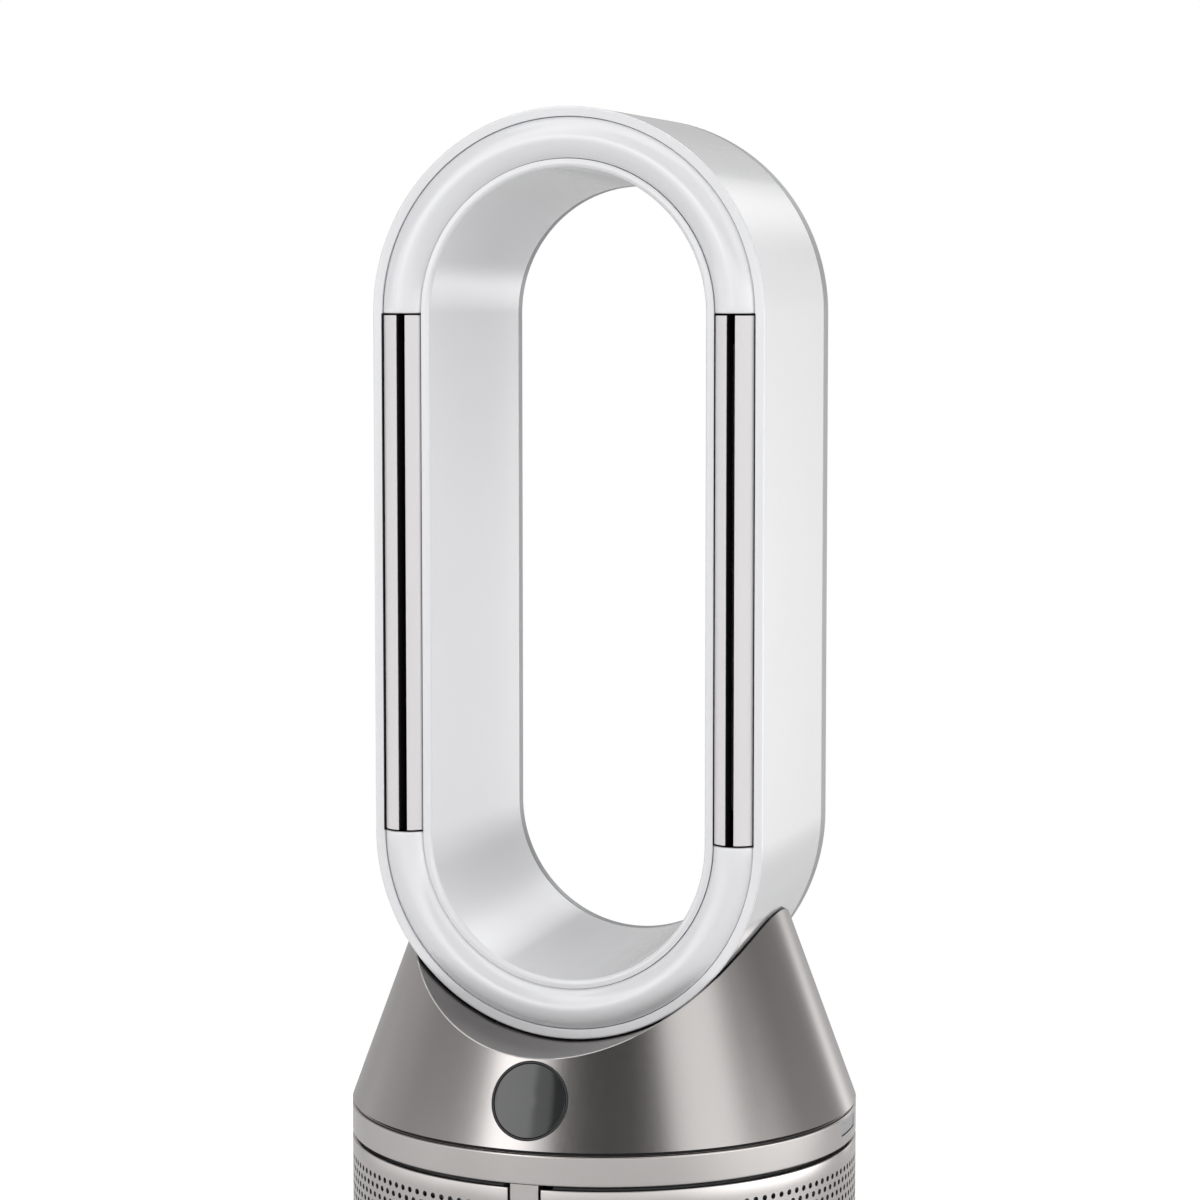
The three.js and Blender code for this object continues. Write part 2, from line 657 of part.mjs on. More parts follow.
// A screw with its head's underside at z = 0 and its shank pointing down.
function screw() {
  return turned([
    [0, -SCREW_LENGTH],
    [SCREW_RADIUS, -SCREW_LENGTH],
    [SCREW_RADIUS, 0],
    [SCREW_HEAD, 0],
    [SCREW_HEAD, SCREW_HEAD_HEIGHT],
    [0, SCREW_HEAD_HEIGHT],
  ], SCREW_STEPS);
}

// ================================================================ turning body

function postPlaces() {
  return Array.from({ length: 4 }, (_, i) => {
    const angle = Math.PI / 4 + (i * Math.PI) / 2;
    return [postCircle * Math.cos(angle), postCircle * Math.sin(angle)];
  });
}

function lowerHousing() {
  const inside = BODY_RADIUS - HOUSING_WALL;
  const chamfer = HOUSING_FLOOR + 1;
  const cup = turned([
    [HUB_RADIUS + RUN, housingZ],
    [BODY_RADIUS - chamfer, housingZ],
    [BODY_RADIUS, housingZ + chamfer],
    [BODY_RADIUS, housingTop],
    [inside, housingTop],
    [inside, floorTop + chamfer],
    [inside - chamfer, floorTop],
    [HUB_RADIUS + RUN, floorTop],
  ], OUTER_STEPS);
  const postHeight = HOUSING_HEIGHT - HOUSING_FLOOR;
  const posts = postPlaces().map(([x, y]) =>
    rod(POST_RADIUS, postHeight + 1, SMALL_STEPS).translate(x, y, floorTop - 1));
  const screwHoles = postPlaces().map(([x, y]) =>
    rod(SCREW_RADIUS + SCREW_CLEARANCE, SCREW_LENGTH * 2, SCREW_STEPS)
      .translate(x, y, deckTop - SCREW_LENGTH - 2));
  const buttonHole = frontRod(BUTTON_RADIUS + RUN, HOUSING_WALL * 4, housingZ + BUTTON_RISE);
  const windowHole = frontRod(WINDOW_RADIUS + FIT, HOUSING_WALL * 4, housingZ + WINDOW_RISE);
  return cut(join(cup, ...posts), ...screwHoles, buttonHole, windowHole);
}

// A rod along Y whose front end stands just in front of the body at the height z.
function frontRod(radius, length, z) {
  return rod(radius, length, SMALL_STEPS).rotateX(-Math.PI / 2).translate(0, -BODY_RADIUS - 1, z);
}

function powerButton() {
  return rod(BUTTON_RADIUS, BUTTON_DEPTH, SMALL_STEPS)
    .rotateX(-Math.PI / 2)
    .translate(0, -BODY_RADIUS + FIT, 0);
}

function powerSwitch() {
  const face = -BODY_RADIUS + FIT + BUTTON_DEPTH + BUTTON_TRAVEL + RUN;
  return block(SWITCH_SIZE.x, SWITCH_SIZE.y, SWITCH_SIZE.z)
    .translate(0, face + SWITCH_SIZE.y / 2, -SWITCH_SIZE.z / 2);
}

function receiverWindow() {
  return rod(WINDOW_RADIUS, HOUSING_WALL, SMALL_STEPS)
    .rotateX(-Math.PI / 2)
    .translate(0, -BODY_RADIUS + FIT, 0);
}

function oscillationMotor() {
  const can = rod(MOTOR_RADIUS, MOTOR_HEIGHT, SMALL_STEPS).translate(0, 0, GEAR_WIDTH + RUN);
  const ears = block(earLength, EAR_WIDTH, EAR_THICKNESS).translate(0, 0, GEAR_WIDTH + RUN);
  const shaftHole = rod(STUB_RADIUS + RUN, MOTOR_HEIGHT / 2, SCREW_STEPS).translate(0, 0, GEAR_WIDTH);
  return cut(join(can, ears), shaftHole);
}

// A U-shaped bracket that holds the motor's ears above the floor, round the pinion.
function motorBracket() {
  const height = GEAR_WIDTH + RUN - FIT * 2 + gearZ - floorTop;
  const reach = earLength / 2;
  const back = pinionPitch + GEAR_MODULE + BRACKET_WALL;
  const leg = block(BRACKET_WALL, EAR_WIDTH / 2 + back, height).translate(0, back / 2 - EAR_WIDTH / 4, 0);
  const bridge = block(earLength, BRACKET_WALL, height).translate(0, back - BRACKET_WALL / 2, 0);
  return join(
    leg.clone().translate(BRACKET_WALL / 2 - reach, 0, 0),
    leg.clone().translate(reach - BRACKET_WALL / 2, 0, 0),
    bridge,
  );
}

function pinion() {
  const halfTooth = Math.PI / PINION_TEETH;
  const gear = prism(gearShape(PINION_TEETH, Math.PI + halfTooth), GEAR_WIDTH, 1);
  const stub = rod(STUB_RADIUS, GEAR_WIDTH + RUN * 3, SCREW_STEPS);
  return join(gear, stub);
}

function mainBoard() {
  const plate = block(BOARD_SIZE.x, BOARD_SIZE.y, BOARD_SIZE.z);
  const coil = rod(COIL.radius, COIL.height, SMALL_STEPS).translate(COIL.x, COIL.y, 0);
  const capacitor = rod(CAPACITOR.radius, CAPACITOR.height, SMALL_STEPS)
    .translate(CAPACITOR.x, CAPACITOR.y, 0);
  const sink = block(HEAT_SINK.width, HEAT_SINK.depth, HEAT_SINK.height)
    .translate(HEAT_SINK.x, HEAT_SINK.y, 0);
  return join(plate, coil, capacitor, sink);
}

function chassis() {
  const lowerDisc = rod(innerBodyRadius, DECK, OUTER_STEPS).translate(0, 0, deckZ);
  const wall = BODY_RADIUS - COLLAR_WALL;
  const spigot = coneInnerRadius(SPIGOT_RISE) - RUN;
  const upper = turned([
    [BUCKET_RADIUS + RUN, collarZ],
    [BODY_RADIUS, collarZ],
    [BODY_RADIUS, collarTop],
    [wall, collarTop],
    [spigot, coneZ + SPIGOT_RISE],
    [spigot - COLLAR_WALL, coneZ + SPIGOT_RISE],
    [spigot - COLLAR_WALL, upperDeckTop],
    [BUCKET_RADIUS + RUN, upperDeckTop],
  ], OUTER_STEPS);
  const spineHeight = collarZ - deckTop + 2;
  const spine = block(SPINE_WIDTH, SPINE_DEPTH, spineHeight)
    .translate(0, -BODY_RADIUS + SPINE_DEPTH / 2, deckTop - 1);
  const spines = common(
    join(spine, spine.clone().rotateZ(Math.PI)),
    rod(BODY_RADIUS, collarTop, OUTER_STEPS),
  );
  const screwHoles = postPlaces().map(([x, y]) =>
    rod(SCREW_RADIUS + SCREW_CLEARANCE, DECK * 3, SCREW_STEPS).translate(x, y, deckZ - DECK));
  const latchHole = block(BODY_RADIUS * 2 + 2, LATCH_WIDTH + FIT * 2, LATCH_HEIGHT + FIT * 2)
    .translate(0, 0, latchZ() - LATCH_HEIGHT / 2 - FIT);
  const latchHoles = cut(latchHole, rod(BUCKET_RADIUS, collarTop, SMALL_STEPS));
  return cut(join(lowerDisc, upper, spines), ...screwHoles, ...flangeScrewHoles(), latchHoles);
}

function latchZ() {
  return (upperDeckTop + collarTop) / 2;
}

// The two screws through the flanges of the neck and the bucket stand across from each other.
function flangeScrewPlaces() {
  const reach = neckScrewCircle * Math.SQRT1_2;
  return [[reach, reach], [-reach, -reach]];
}

function flangeScrewHoles() {
  const hole = rod(SCREW_RADIUS + SCREW_CLEARANCE, SCREW_LENGTH * 2, SCREW_STEPS);
  return flangeScrewPlaces().map(([x, y]) => hole.clone().translate(x, y, neckZ - SCREW_LENGTH));
}

// The release button for the shroud on the +X side, with the tongue behind it.
function latch() {
  const face = BODY_RADIUS * Math.cos(Math.asin(LATCH_WIDTH / 2 / BODY_RADIUS)) - FIT;
  const cap = block(LATCH_DEPTH, LATCH_WIDTH, LATCH_HEIGHT);
  return cap.translate(face - LATCH_DEPTH / 2, 0, -LATCH_HEIGHT / 2);
}

// The half shroud on the +X side.
function shroud() {
  const shell = ring(BODY_RADIUS - SHROUD_WALL, BODY_RADIUS, SHROUD_HEIGHT, OUTER_STEPS);
  const edge = SPINE_WIDTH / 2 + SPINE_GAP;
  const side = block(BODY_RADIUS * 2, BODY_RADIUS * 3, SHROUD_HEIGHT * 2)
    .translate(BODY_RADIUS + edge, 0, -SHROUD_HEIGHT / 2);
  const rowHeight = (SHROUD_HEIGHT - VENT_MARGIN * (VENT_ROWS + 1)) / VENT_ROWS;
  const reach = Math.PI / 2 - (edge + VENT_INSET) / BODY_RADIUS;
  const vents = [];
  for (let row = 0; row < VENT_ROWS; row += 1) {
    const z = VENT_MARGIN + row * (rowHeight + VENT_MARGIN);
    const vent = block(SHROUD_WALL * 6, VENT_WIDTH, rowHeight).translate(BODY_RADIUS, 0, z);
    for (let column = 0; column < VENT_COLUMNS; column += 1) {
      const angle = -reach + (2 * reach * column) / (VENT_COLUMNS - 1);
      vents.push(vent.clone().rotateZ(angle));
    }
  }
  return cut(common(shell, side), ...vents);
}

// The pleated particle filter on the +X side, between two end caps.
function particleFilter() {
  const reach = Math.PI / 2 - FILTER_END_ANGLE;
  const steps = HEPA_PLEATS * 2;
  const fold = (offset) => Array.from({ length: steps + 1 }, (_, i) => {
    const angle = -reach + (2 * reach * i) / steps;
    const fullRadius = i % 2 === 0 ? hepaOuter - HEPA_SINK : hepaInner + HEPA_SINK + HEPA_SHEET;
    const radius = fullRadius - offset;
    return new THREE.Vector2(radius * Math.cos(angle), radius * Math.sin(angle));
  });
  const outline = new THREE.Shape([...fold(0), ...fold(HEPA_SHEET).reverse()]);
  const pleats = prism(outline, filterHeight - HEPA_SINK * 2, 1).translate(0, 0, HEPA_SINK);
  const cap = prism(halfRingShape(hepaInner, hepaOuter, CAP_END_ANGLE), HEPA_CAP, FILTER_STEPS);
  return join(pleats, cap, cap.clone().translate(0, 0, filterHeight - HEPA_CAP));
}

function carbonFilter() {
  return prism(halfRingShape(carbonInner, carbonOuter, FILTER_END_ANGLE), filterHeight, FILTER_STEPS);
}

// ================================================================ air mover

function motorBucket() {
  const throat = bucketZ + INLET_LIP;
  const flare = INLET_RADIUS + INLET_LIP;
  const bucket = turned([
    [BUCKET_RADIUS, throat],
    [BUCKET_RADIUS, bucketFlangeZ],
    [FLANGE_RADIUS, bucketFlangeZ],
    [FLANGE_RADIUS, bucketFlangeZ + FLANGE],
    [bucketInner, bucketFlangeZ + FLANGE],
    [bucketInner, throat + BUCKET_WALL],
    [flare, throat],
    [INLET_RADIUS, bucketZ],
    [INLET_RADIUS + BUCKET_WALL, bucketZ - BUCKET_WALL],
    [flare + BUCKET_WALL, throat - BUCKET_WALL],
  ], INNER_STEPS);
  return cut(bucket, ...flangeScrewHoles());
}

function impeller() {
  const bore = SHAFT_RADIUS + FIT;
  const hub = turned([
    [bore, 0],
    [IMPELLER_NOSE, 0],
    [IMPELLER_NOSE + NOSE_FLARE, HUB_EDGE],
    [IMPELLER_HUB, IMPELLER_HEIGHT - HUB_EDGE],
    [IMPELLER_HUB, IMPELLER_HEIGHT],
    [bore, IMPELLER_HEIGHT],
  ], BLADE_STEPS);
  const tip = bucketInner - IMPELLER_TIP;
  const inletTip = INLET_RADIUS - IMPELLER_TIP;
  const low = BLADE_EDGE;
  const high = IMPELLER_HEIGHT - BLADE_EDGE;
  const blade = pitchedBlade(SHAFT_RADIUS, bucketInner);
  const envelope = turned([
    [0, low],
    [inletTip, low],
    [tip, high - TIP_HEIGHT],
    [tip, high],
    [0, high],
  ], BLADE_STEPS);
  const shaftRoom = rod(IMPELLER_NOSE - BLADE_EDGE, IMPELLER_HEIGHT, SMALL_STEPS);
  const blades = cut(common(join(...around(BLADE_COUNT, blade)), envelope), shaftRoom);
  return join(hub, blades);
}

// A thin flat blade from one radius to another, pitched round its own length.
function pitchedBlade(inner, outer) {
  const length = outer - inner;
  return new THREE.BoxGeometry(length, BLADE_THICKNESS, IMPELLER_HEIGHT * 2)
    .rotateX(BLADE_PITCH)
    .translate(inner + length / 2, 0, IMPELLER_HEIGHT / 2);
}

function motorCan() {
  const bore = SHAFT_RADIUS + RUN;
  return turned([
    [bore, 0],
    [CAN_RADIUS - CAN_CHAMFER, 0],
    [CAN_RADIUS, CAN_CHAMFER],
    [CAN_RADIUS, CAN_HEIGHT],
    [bore, CAN_HEIGHT],
  ], INNER_STEPS);
}

function diffuser() {
  const inner = CAN_RADIUS + FIT;
  const outer = bucketInner - FIT;
  const hub = ring(inner, inner + RING_WALL, RING_HEIGHT, INNER_STEPS);
  const rim = ring(outer - RING_WALL, outer, RING_HEIGHT, INNER_STEPS);
  const span = outer - inner - RING_WALL;
  const vane = block(span, VANE_THICKNESS, VANE_HEIGHT)
    .translate(inner + RING_WALL / 2 + span / 2, 0, (RING_HEIGHT - VANE_HEIGHT) / 2);
  return join(hub, rim, ...around(VANE_COUNT, vane));
}

function tailCone() {
  return turned([
    [0, 0],
    [CAN_RADIUS, 0],
    [TAIL_MIDDLE, TAIL_HEIGHT / 2],
    [TAIL_TIP, TAIL_HEIGHT],
    [0, TAIL_HEIGHT],
  ], INNER_STEPS);
}

// A round bar along Y that stands for the loop's lower half circle, of the given radius.
function loopBarrel(radius, length) {
  return rod(radius, length, CONE_STEPS)
    .rotateX(-Math.PI / 2)
    .translate(0, -length / 2, loopLowZ);
}

function neckTube(grow, bottom, top) {
  return prism(
    roundedRectangle(NECK_LENGTH_X + grow * 2, NECK_LENGTH_Y + grow * 2, NECK_CORNER + grow),
    top - bottom,
    CORNER_STEPS,
  ).translate(0, 0, bottom);
}

function neckDuct() {
  const flange = rod(FLANGE_RADIUS, FLANGE, INNER_STEPS).translate(0, 0, neckZ);
  const tube = neckTube(0, neckZ, loopLowZ);
  const air = neckTube(-NECK_WALL, neckZ - 1, loopLowZ + 1);
  const loopRoom = loopBarrel(LOOP_RADIUS + FIT, BODY_RADIUS * 2);
  return cut(join(flange, tube), air, loopRoom, ...flangeScrewHoles());
}

// The foam seal round the neck, squeezed between the saddle and the loop.
function loopSeal() {
  const middle = SADDLE_GAP / 2;
  const thickness = SADDLE_GAP / 2;
  const frame = cut(
    neckTube(SEAL_WIDTH, coneZ, loopLowZ),
    neckTube(FIT, coneZ - 1, loopLowZ + 1),
  );
  const outside = loopBarrel(LOOP_RADIUS + middle + thickness / 2, NECK_LENGTH_Y * 2);
  const inside = loopBarrel(LOOP_RADIUS + middle - thickness / 2, NECK_LENGTH_Y * 3);
  return cut(common(frame, outside), inside);
}

// ================================================================ cone and display

function coneRadius(height) {
  return BODY_RADIUS - CONE_SLOPE * height;
}

function coneInnerRadius(height) {
  return coneRadius(height) - CONE_WALL * Math.hypot(1, CONE_SLOPE);
}

// The cone as a full solid, its surface moved inward by sink, measured across the wall.
function coneSolid(sink, low, high) {
  const inward = sink * Math.hypot(1, CONE_SLOPE);
  return turned([
    [0, low],
    [coneRadius(low) - inward, low],
    [coneRadius(high) - inward, high],
    [0, high],
  ], CONE_STEPS).translate(0, 0, coneZ);
}

// What the saddle takes away: a barrel under the loop that narrows beyond its front and back.
function saddleBarrel(grow) {
  const radius = LOOP_RADIUS + SADDLE_GAP + grow;
  const reach = BODY_RADIUS + 1;
  return turned([
    [0, -reach],
    [radius - SADDLE_RISE, -reach],
    [radius, LOOP_FRONT],
    [radius, LOOP_REAR],
    [radius - SADDLE_RISE, reach],
    [0, reach],
  ], CONE_STEPS).rotateX(-Math.PI / 2).translate(0, 0, loopLowZ);
}

function coneShell() {
  const top = LOOP_RAISE;
  const outside = cut(coneSolid(0, 0, top), saddleBarrel(0));
  const inside = cut(coneSolid(CONE_WALL, -1, top), saddleBarrel(CONE_WALL));
  const hole = displayRod(DISPLAY_RADIUS + BEZEL_WIDTH + FIT, CONE_WALL * 4);
  return cut(outside, inside, neckTube(FIT * 2, coneZ, loopLowZ), hole);
}

// A rod square to the cone's front, through the middle of the display.
function displayRod(radius, length) {
  return rod(radius, length, INNER_STEPS)
    .translate(0, 0, -length / 2)
    .rotateX(Math.PI / 2 - Math.atan(CONE_SLOPE))
    .translate(0, -coneRadius(DISPLAY_RISE), coneZ + DISPLAY_RISE);
}

// A piece of the cone's wall inside the display's round window.
function coneSkin(thickness) {
  return cut(coneSolid(0, 0, LOOP_RAISE / 3), coneSolid(thickness, -1, LOOP_RAISE / 3 + 1));
}

function displayLens() {
  return common(coneSkin(LENS_THICKNESS), displayRod(DISPLAY_RADIUS - FIT, CONE_WALL * 4));
}

function displayBezel() {
  const tube = cut(
    displayRod(DISPLAY_RADIUS + BEZEL_WIDTH, CONE_WALL * 4),
    displayRod(DISPLAY_RADIUS, CONE_WALL * 6),
  );
  return common(coneSkin(BEZEL_THICKNESS), tube);
}

function displayModule() {
  const screen = block(MODULE_SIZE.x, MODULE_SIZE.y, MODULE_SIZE.z);
  const connector = block(CONNECTOR_SIZE.x, CONNECTOR_SIZE.y, CONNECTOR_SIZE.z)
    .translate(0, 0, -CONNECTOR_SIZE.z / 2);
  return join(screen, connector);
}

// ================================================================ loop pieces

function outerCasing() {
  const opening = neckTube(-NECK_WALL * 2, -LOOP_RADIUS * 2, 0).translate(0, 0, -LOOP_STRAIGHT / 2);
  return cut(loopRing(outerCasingShape()), opening);
}

function rearCasing() {
  const slot = block(REAR_SLOT_WIDTH, LOOP_WALL * 4, REAR_SLOT_LENGTH)
    .translate(slotMiddle, LOOP_REAR, -REAR_SLOT_LENGTH / 2);
  return cut(loopRing(rearCasingShape()), slot, slot.clone().translate(-2 * slotMiddle, 0, 0));
}

// A nozzle plate on the +X side; outward says on which side of the slot it lies.
function nozzlePlate(outward) {
  return loopBar(plateShape(outward), LOOP_STRAIGHT - PLATE_SEAM * 2)
    .translate(0, 0, PLATE_SEAM - LOOP_STRAIGHT / 2);
}

function heater() {
  const core = block(HEATER_SIZE.x, HEATER_SIZE.y, HEATER_SIZE.z).translate(0, 0, -HEATER_SIZE.z / 2);
  const pitch = HEATER_SIZE.z / HEATER_FINS;
  const grooves = Array.from({ length: HEATER_FINS - 1 }, (_, i) =>
    block(HEATER_SIZE.x - FIN_ROOT * 2, HEATER_SIZE.y * 2, FIN_GROOVE)
      .translate(0, 0, -HEATER_SIZE.z / 2 + (i + 1) * pitch - FIN_GROOVE / 2));
  return cut(core, ...grooves);
}

function flowBaffle() {
  const blade = block(BAFFLE_WIDTH, BAFFLE_THICKNESS, BAFFLE_LENGTH).translate(0, 0, -BAFFLE_LENGTH / 2);
  const shaft = rod(BAFFLE_SHAFT, BAFFLE_LENGTH + BAFFLE_STUB * 2, SMALL_STEPS)
    .translate(0, 0, -BAFFLE_LENGTH / 2 - BAFFLE_STUB);
  return join(blade, shaft);
}

function baffleMotor() {
  const top = -BAFFLE_LENGTH / 2 - BAFFLE_STUB - RUN;
  return rod(BAFFLE_MOTOR_RADIUS, BAFFLE_MOTOR_HEIGHT, SMALL_STEPS)
    .translate(0, 0, top - BAFFLE_MOTOR_HEIGHT);
}

// ================================================================ assembly

const fan = new THREE.Group();

function add(parent, name, geometry, finish, x = 0, y = 0, z = 0) {
  const mesh = new THREE.Mesh(geometry, new THREE.MeshStandardMaterial(finish));
  mesh.name = name;
  mesh.position.set(x, y, z);
  parent.add(mesh);
  return mesh;
}

function group(parent, x, y, z) {
  const holder = new THREE.Group();
  holder.position.set(x, y, z);
  parent.add(holder);
  return holder;
}

// The same piece on both sides of the fan: the second one is turned half a turn round Z.
function addPair(parent, name, geometry, finish, x = 0, y = 0, z = 0) {
  const right = add(parent, `${name}_right`, geometry, finish, x, y, z);
  const left = add(parent, `${name}_left`, geometry.clone(), finish, -x, -y, z);
  left.rotation.z = Math.PI;
  return [right, left];
}

// The same piece on both sides, mirrored, for pieces whose front and back differ.
function addMirrored(parent, name, geometry, finish, x = 0, y = 0, z = 0) {
  add(parent, `${name}_right`, geometry, finish, x, y, z);
  const mirrored = geometryOf(solid(geometry.clone().scale(-1, 1, 1)));
  add(parent, `${name}_left`, mirrored, finish, -x, y, z);
}

function buildFoot(parent) {
  add(parent, 'foot_ring', footRing(), rubber);
  add(parent, 'base_plate', basePlate(), nickel);
  add(parent, 'cable_gland', cableGland(), rubber);
  add(parent, 'glide_track', glideTrack(), darkPlastic);
  add(parent, 'glide_ring', glideRing(), nylon);
  add(parent, 'turntable_hub', turntableHub(), greyPlastic);
  add(parent, 'fixed_gear', fixedGear(), nylon, 0, 0, gearZ);
  add(parent, 'hub_nut', hubNut(), steel, 0, 0, nutZ);
}

function buildHousing(parent) {
  add(parent, 'lower_housing', lowerHousing(), nickel);
  add(parent, 'power_button', powerButton(), darkPlastic, 0, 0, housingZ + BUTTON_RISE);
  add(parent, 'power_switch', powerSwitch(), greyPlastic, 0, 0, housingZ + BUTTON_RISE);
  add(parent, 'receiver_window', receiverWindow(), glass, 0, 0, housingZ + WINDOW_RISE);
  const drive = group(parent, pinionDistance, 0, 0);
  drive.rotation.z = -Math.PI / 2;
  add(drive, 'oscillation_motor', oscillationMotor(), steel, 0, 0, gearZ);
  add(drive, 'motor_bracket', motorBracket(), greyPlastic, 0, 0, floorTop + FIT);
  add(parent, 'oscillation_pinion', pinion(), nylon, pinionDistance, 0, gearZ);
  add(parent, 'main_board', mainBoard(), board, 0, boardY, floorTop + BOARD_LIFT);
  add(parent, 'chassis', chassis(), nickel);
  postPlaces().forEach(([x, y], i) => {
    add(parent, `deck_screw_${i + 1}`, screw(), steel, x, y, deckTop + FIT);
  });
}

function buildFilters(parent) {
  addPair(parent, 'shroud', shroud(), nickel, 0, 0, shroudZ);
  addPair(parent, 'release_button', latch(), silver, 0, 0, latchZ());
  addPair(parent, 'particle_filter', particleFilter(), paper, 0, 0, filterZ);
  addPair(parent, 'carbon_filter', carbonFilter(), charcoal, 0, 0, filterZ);
}

function buildAirMover(parent) {
  add(parent, 'motor_bucket', motorBucket(), darkPlastic);
  add(parent, 'impeller', impeller(), darkPlastic, 0, 0, impellerZ);
  add(parent, 'motor_shaft', rod(SHAFT_RADIUS, SHAFT_LENGTH, SMALL_STEPS), steel, 0, 0, impellerZ);
  add(parent, 'fan_motor', motorCan(), steel, 0, 0, canZ);
  add(parent, 'diffuser', diffuser(), greyPlastic, 0, 0, canZ + DIFFUSER_LIFT);
  add(parent, 'tail_cone', tailCone(), greyPlastic, 0, 0, canZ + CAN_HEIGHT + FIT);
  add(parent, 'neck_duct', neckDuct(), darkPlastic);
  flangeScrewPlaces().forEach(([x, y], i) => {
    add(parent, `flange_screw_${i + 1}`, screw(), steel, x, y, neckZ + FLANGE + FIT);
  });
}

function buildCone(parent) {
  add(parent, 'cone_shell', coneShell(), nickel);
  add(parent, 'loop_seal', loopSeal(), rubber);
  add(parent, 'display_bezel', displayBezel(), darkPlastic);
  add(parent, 'display_lens', displayLens(), glass);
  const screen = group(parent, 0, -coneRadius(DISPLAY_RISE), coneZ + DISPLAY_RISE);
  screen.rotation.x = Math.PI / 2 - Math.atan(CONE_SLOPE);
  add(screen, 'display_module', displayModule(), board, 0, 0, -MODULE_SINK);
}

function buildLoop(parent) {
  const loop = group(parent, 0, 0, loopMiddleZ);
  add(loop, 'outer_casing', outerCasing(), gloss);
  add(loop, 'inner_casing', loopRing(innerCasingShape()), gloss);
  add(loop, 'rear_casing', rearCasing(), silver);
  add(loop, 'front_trim_top', sweep(bandShape(), halfStations(1), false), gloss);
  add(loop, 'front_trim_bottom', sweep(bandShape(), halfStations(-1), false), gloss);
  addMirrored(loop, 'outer_nozzle_plate', nozzlePlate(true), pearl);
  addMirrored(loop, 'inner_nozzle_plate', nozzlePlate(false), pearl);
  addMirrored(loop, 'heater', heater(), ceramic, bandMiddle, HEATER_Y, 0);
  addMirrored(loop, 'flow_baffle', flowBaffle(), darkPlastic, bandMiddle, BAFFLE_Y, 0);
  addMirrored(loop, 'baffle_motor', baffleMotor(), steel, bandMiddle, BAFFLE_Y, 0);
}

buildFoot(fan);
buildHousing(fan);
buildFilters(fan);
buildAirMover(fan);
buildCone(fan);
buildLoop(fan);

export default fan;
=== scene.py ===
"""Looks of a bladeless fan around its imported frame. Metres, +Z up, the front faces -Y."""
import json
import math

import bmesh
import bpy
import numpy as np
from mathutils import Matrix, Vector


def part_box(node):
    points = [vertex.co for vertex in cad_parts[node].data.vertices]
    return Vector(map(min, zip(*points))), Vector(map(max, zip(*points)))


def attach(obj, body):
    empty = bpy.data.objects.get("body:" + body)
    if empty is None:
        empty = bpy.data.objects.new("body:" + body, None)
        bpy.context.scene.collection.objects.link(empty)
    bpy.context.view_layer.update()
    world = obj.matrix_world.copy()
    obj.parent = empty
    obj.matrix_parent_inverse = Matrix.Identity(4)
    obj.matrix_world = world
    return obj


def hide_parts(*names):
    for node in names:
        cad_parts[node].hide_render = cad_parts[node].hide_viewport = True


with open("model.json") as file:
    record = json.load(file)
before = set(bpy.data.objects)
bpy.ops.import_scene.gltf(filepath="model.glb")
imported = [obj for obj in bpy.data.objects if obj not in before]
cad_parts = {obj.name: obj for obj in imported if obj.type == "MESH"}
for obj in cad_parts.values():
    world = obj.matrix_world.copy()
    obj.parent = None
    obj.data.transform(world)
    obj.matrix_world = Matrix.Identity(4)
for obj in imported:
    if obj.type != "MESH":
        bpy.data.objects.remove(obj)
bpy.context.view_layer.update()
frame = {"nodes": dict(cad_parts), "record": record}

MM = 0.001


def low_corner(node):
    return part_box(node)[0]


def high_corner(node):
    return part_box(node)[1]


def middle_height(node):
    return (low_corner(node).z + high_corner(node).z) / 2


# -------------------- places taken from the frame
LOOP_RADIUS = high_corner("outer_casing").x
LOOP_FRONT = low_corner("outer_casing").y
OUTER_SEAM = high_corner("outer_casing").y
INNER_SEAM = high_corner("inner_casing").y
LOOP_REAR = high_corner("rear_casing").y
HIGH_ARC_Z = high_corner("outer_casing").z - LOOP_RADIUS
LOW_ARC_Z = low_corner("rear_casing").z + LOOP_RADIUS
LOOP_MIDDLE_Z = (HIGH_ARC_Z + LOW_ARC_Z) / 2
SLOT_INNER = high_corner("inner_nozzle_plate_right").x
SLOT_OUTER = low_corner("outer_nozzle_plate_right").x
BAND_INNER = low_corner("inner_nozzle_plate_right").x
BAND_OUTER = high_corner("outer_nozzle_plate_right").x
PLATE_LOW = low_corner("outer_nozzle_plate_right").z
PLATE_HIGH = high_corner("outer_nozzle_plate_right").z
INNER_LIP = high_corner("inner_casing").x
BODY_RADIUS = high_corner("cone_shell").x
CONE_Z = low_corner("cone_shell").z
COLLAR_TOP = CONE_Z - 2 * MM
SHROUD_LOW = low_corner("shroud_right").z
SHROUD_HIGH = high_corner("shroud_right").z
COLLAR_LOW = SHROUD_HIGH + 2 * MM
HOUSING_LOW = low_corner("lower_housing").z
HOUSING_HIGH = high_corner("lower_housing").z
BASE_LOW = low_corner("base_plate").z
BASE_HIGH = high_corner("base_plate").z
BASE_RADIUS = high_corner("base_plate").x

# -------------------- sizes of the forms
FIT = 0.3 * MM
LOOP_WALL = 2.2 * MM
RIM_ROUND = 0.9 * MM
LIP_ROUND = 2 * MM
LIP_WALL = 1.2 * MM
EDGE_ROUND = 0.45 * MM
GROOVE = 0.45 * MM
LIP_FRONT, LIP_BACK = LOOP_FRONT + GROOVE, LOOP_FRONT + 9 * MM
GROOVE_LIT = 4 * MM  # round the trims the grooves have white walls down to this depth; deeper down they are painted black as shade
BORE_TAPER = 5.1 * MM
BORE_RADIUS = INNER_LIP - 4.075 * MM  # at the front
REAR_ROUND = 1.4 * MM
REAR_SLOT_WIDTH = 5 * MM
REAR_SLOT_LENGTH = 210 * MM
BAND_FRONT = LOOP_FRONT + 1.5 * MM  # the band's edges, a little behind the rims
BAND_BACK = BAND_FRONT + 5 * MM
BAND_RISE = 5 * MM
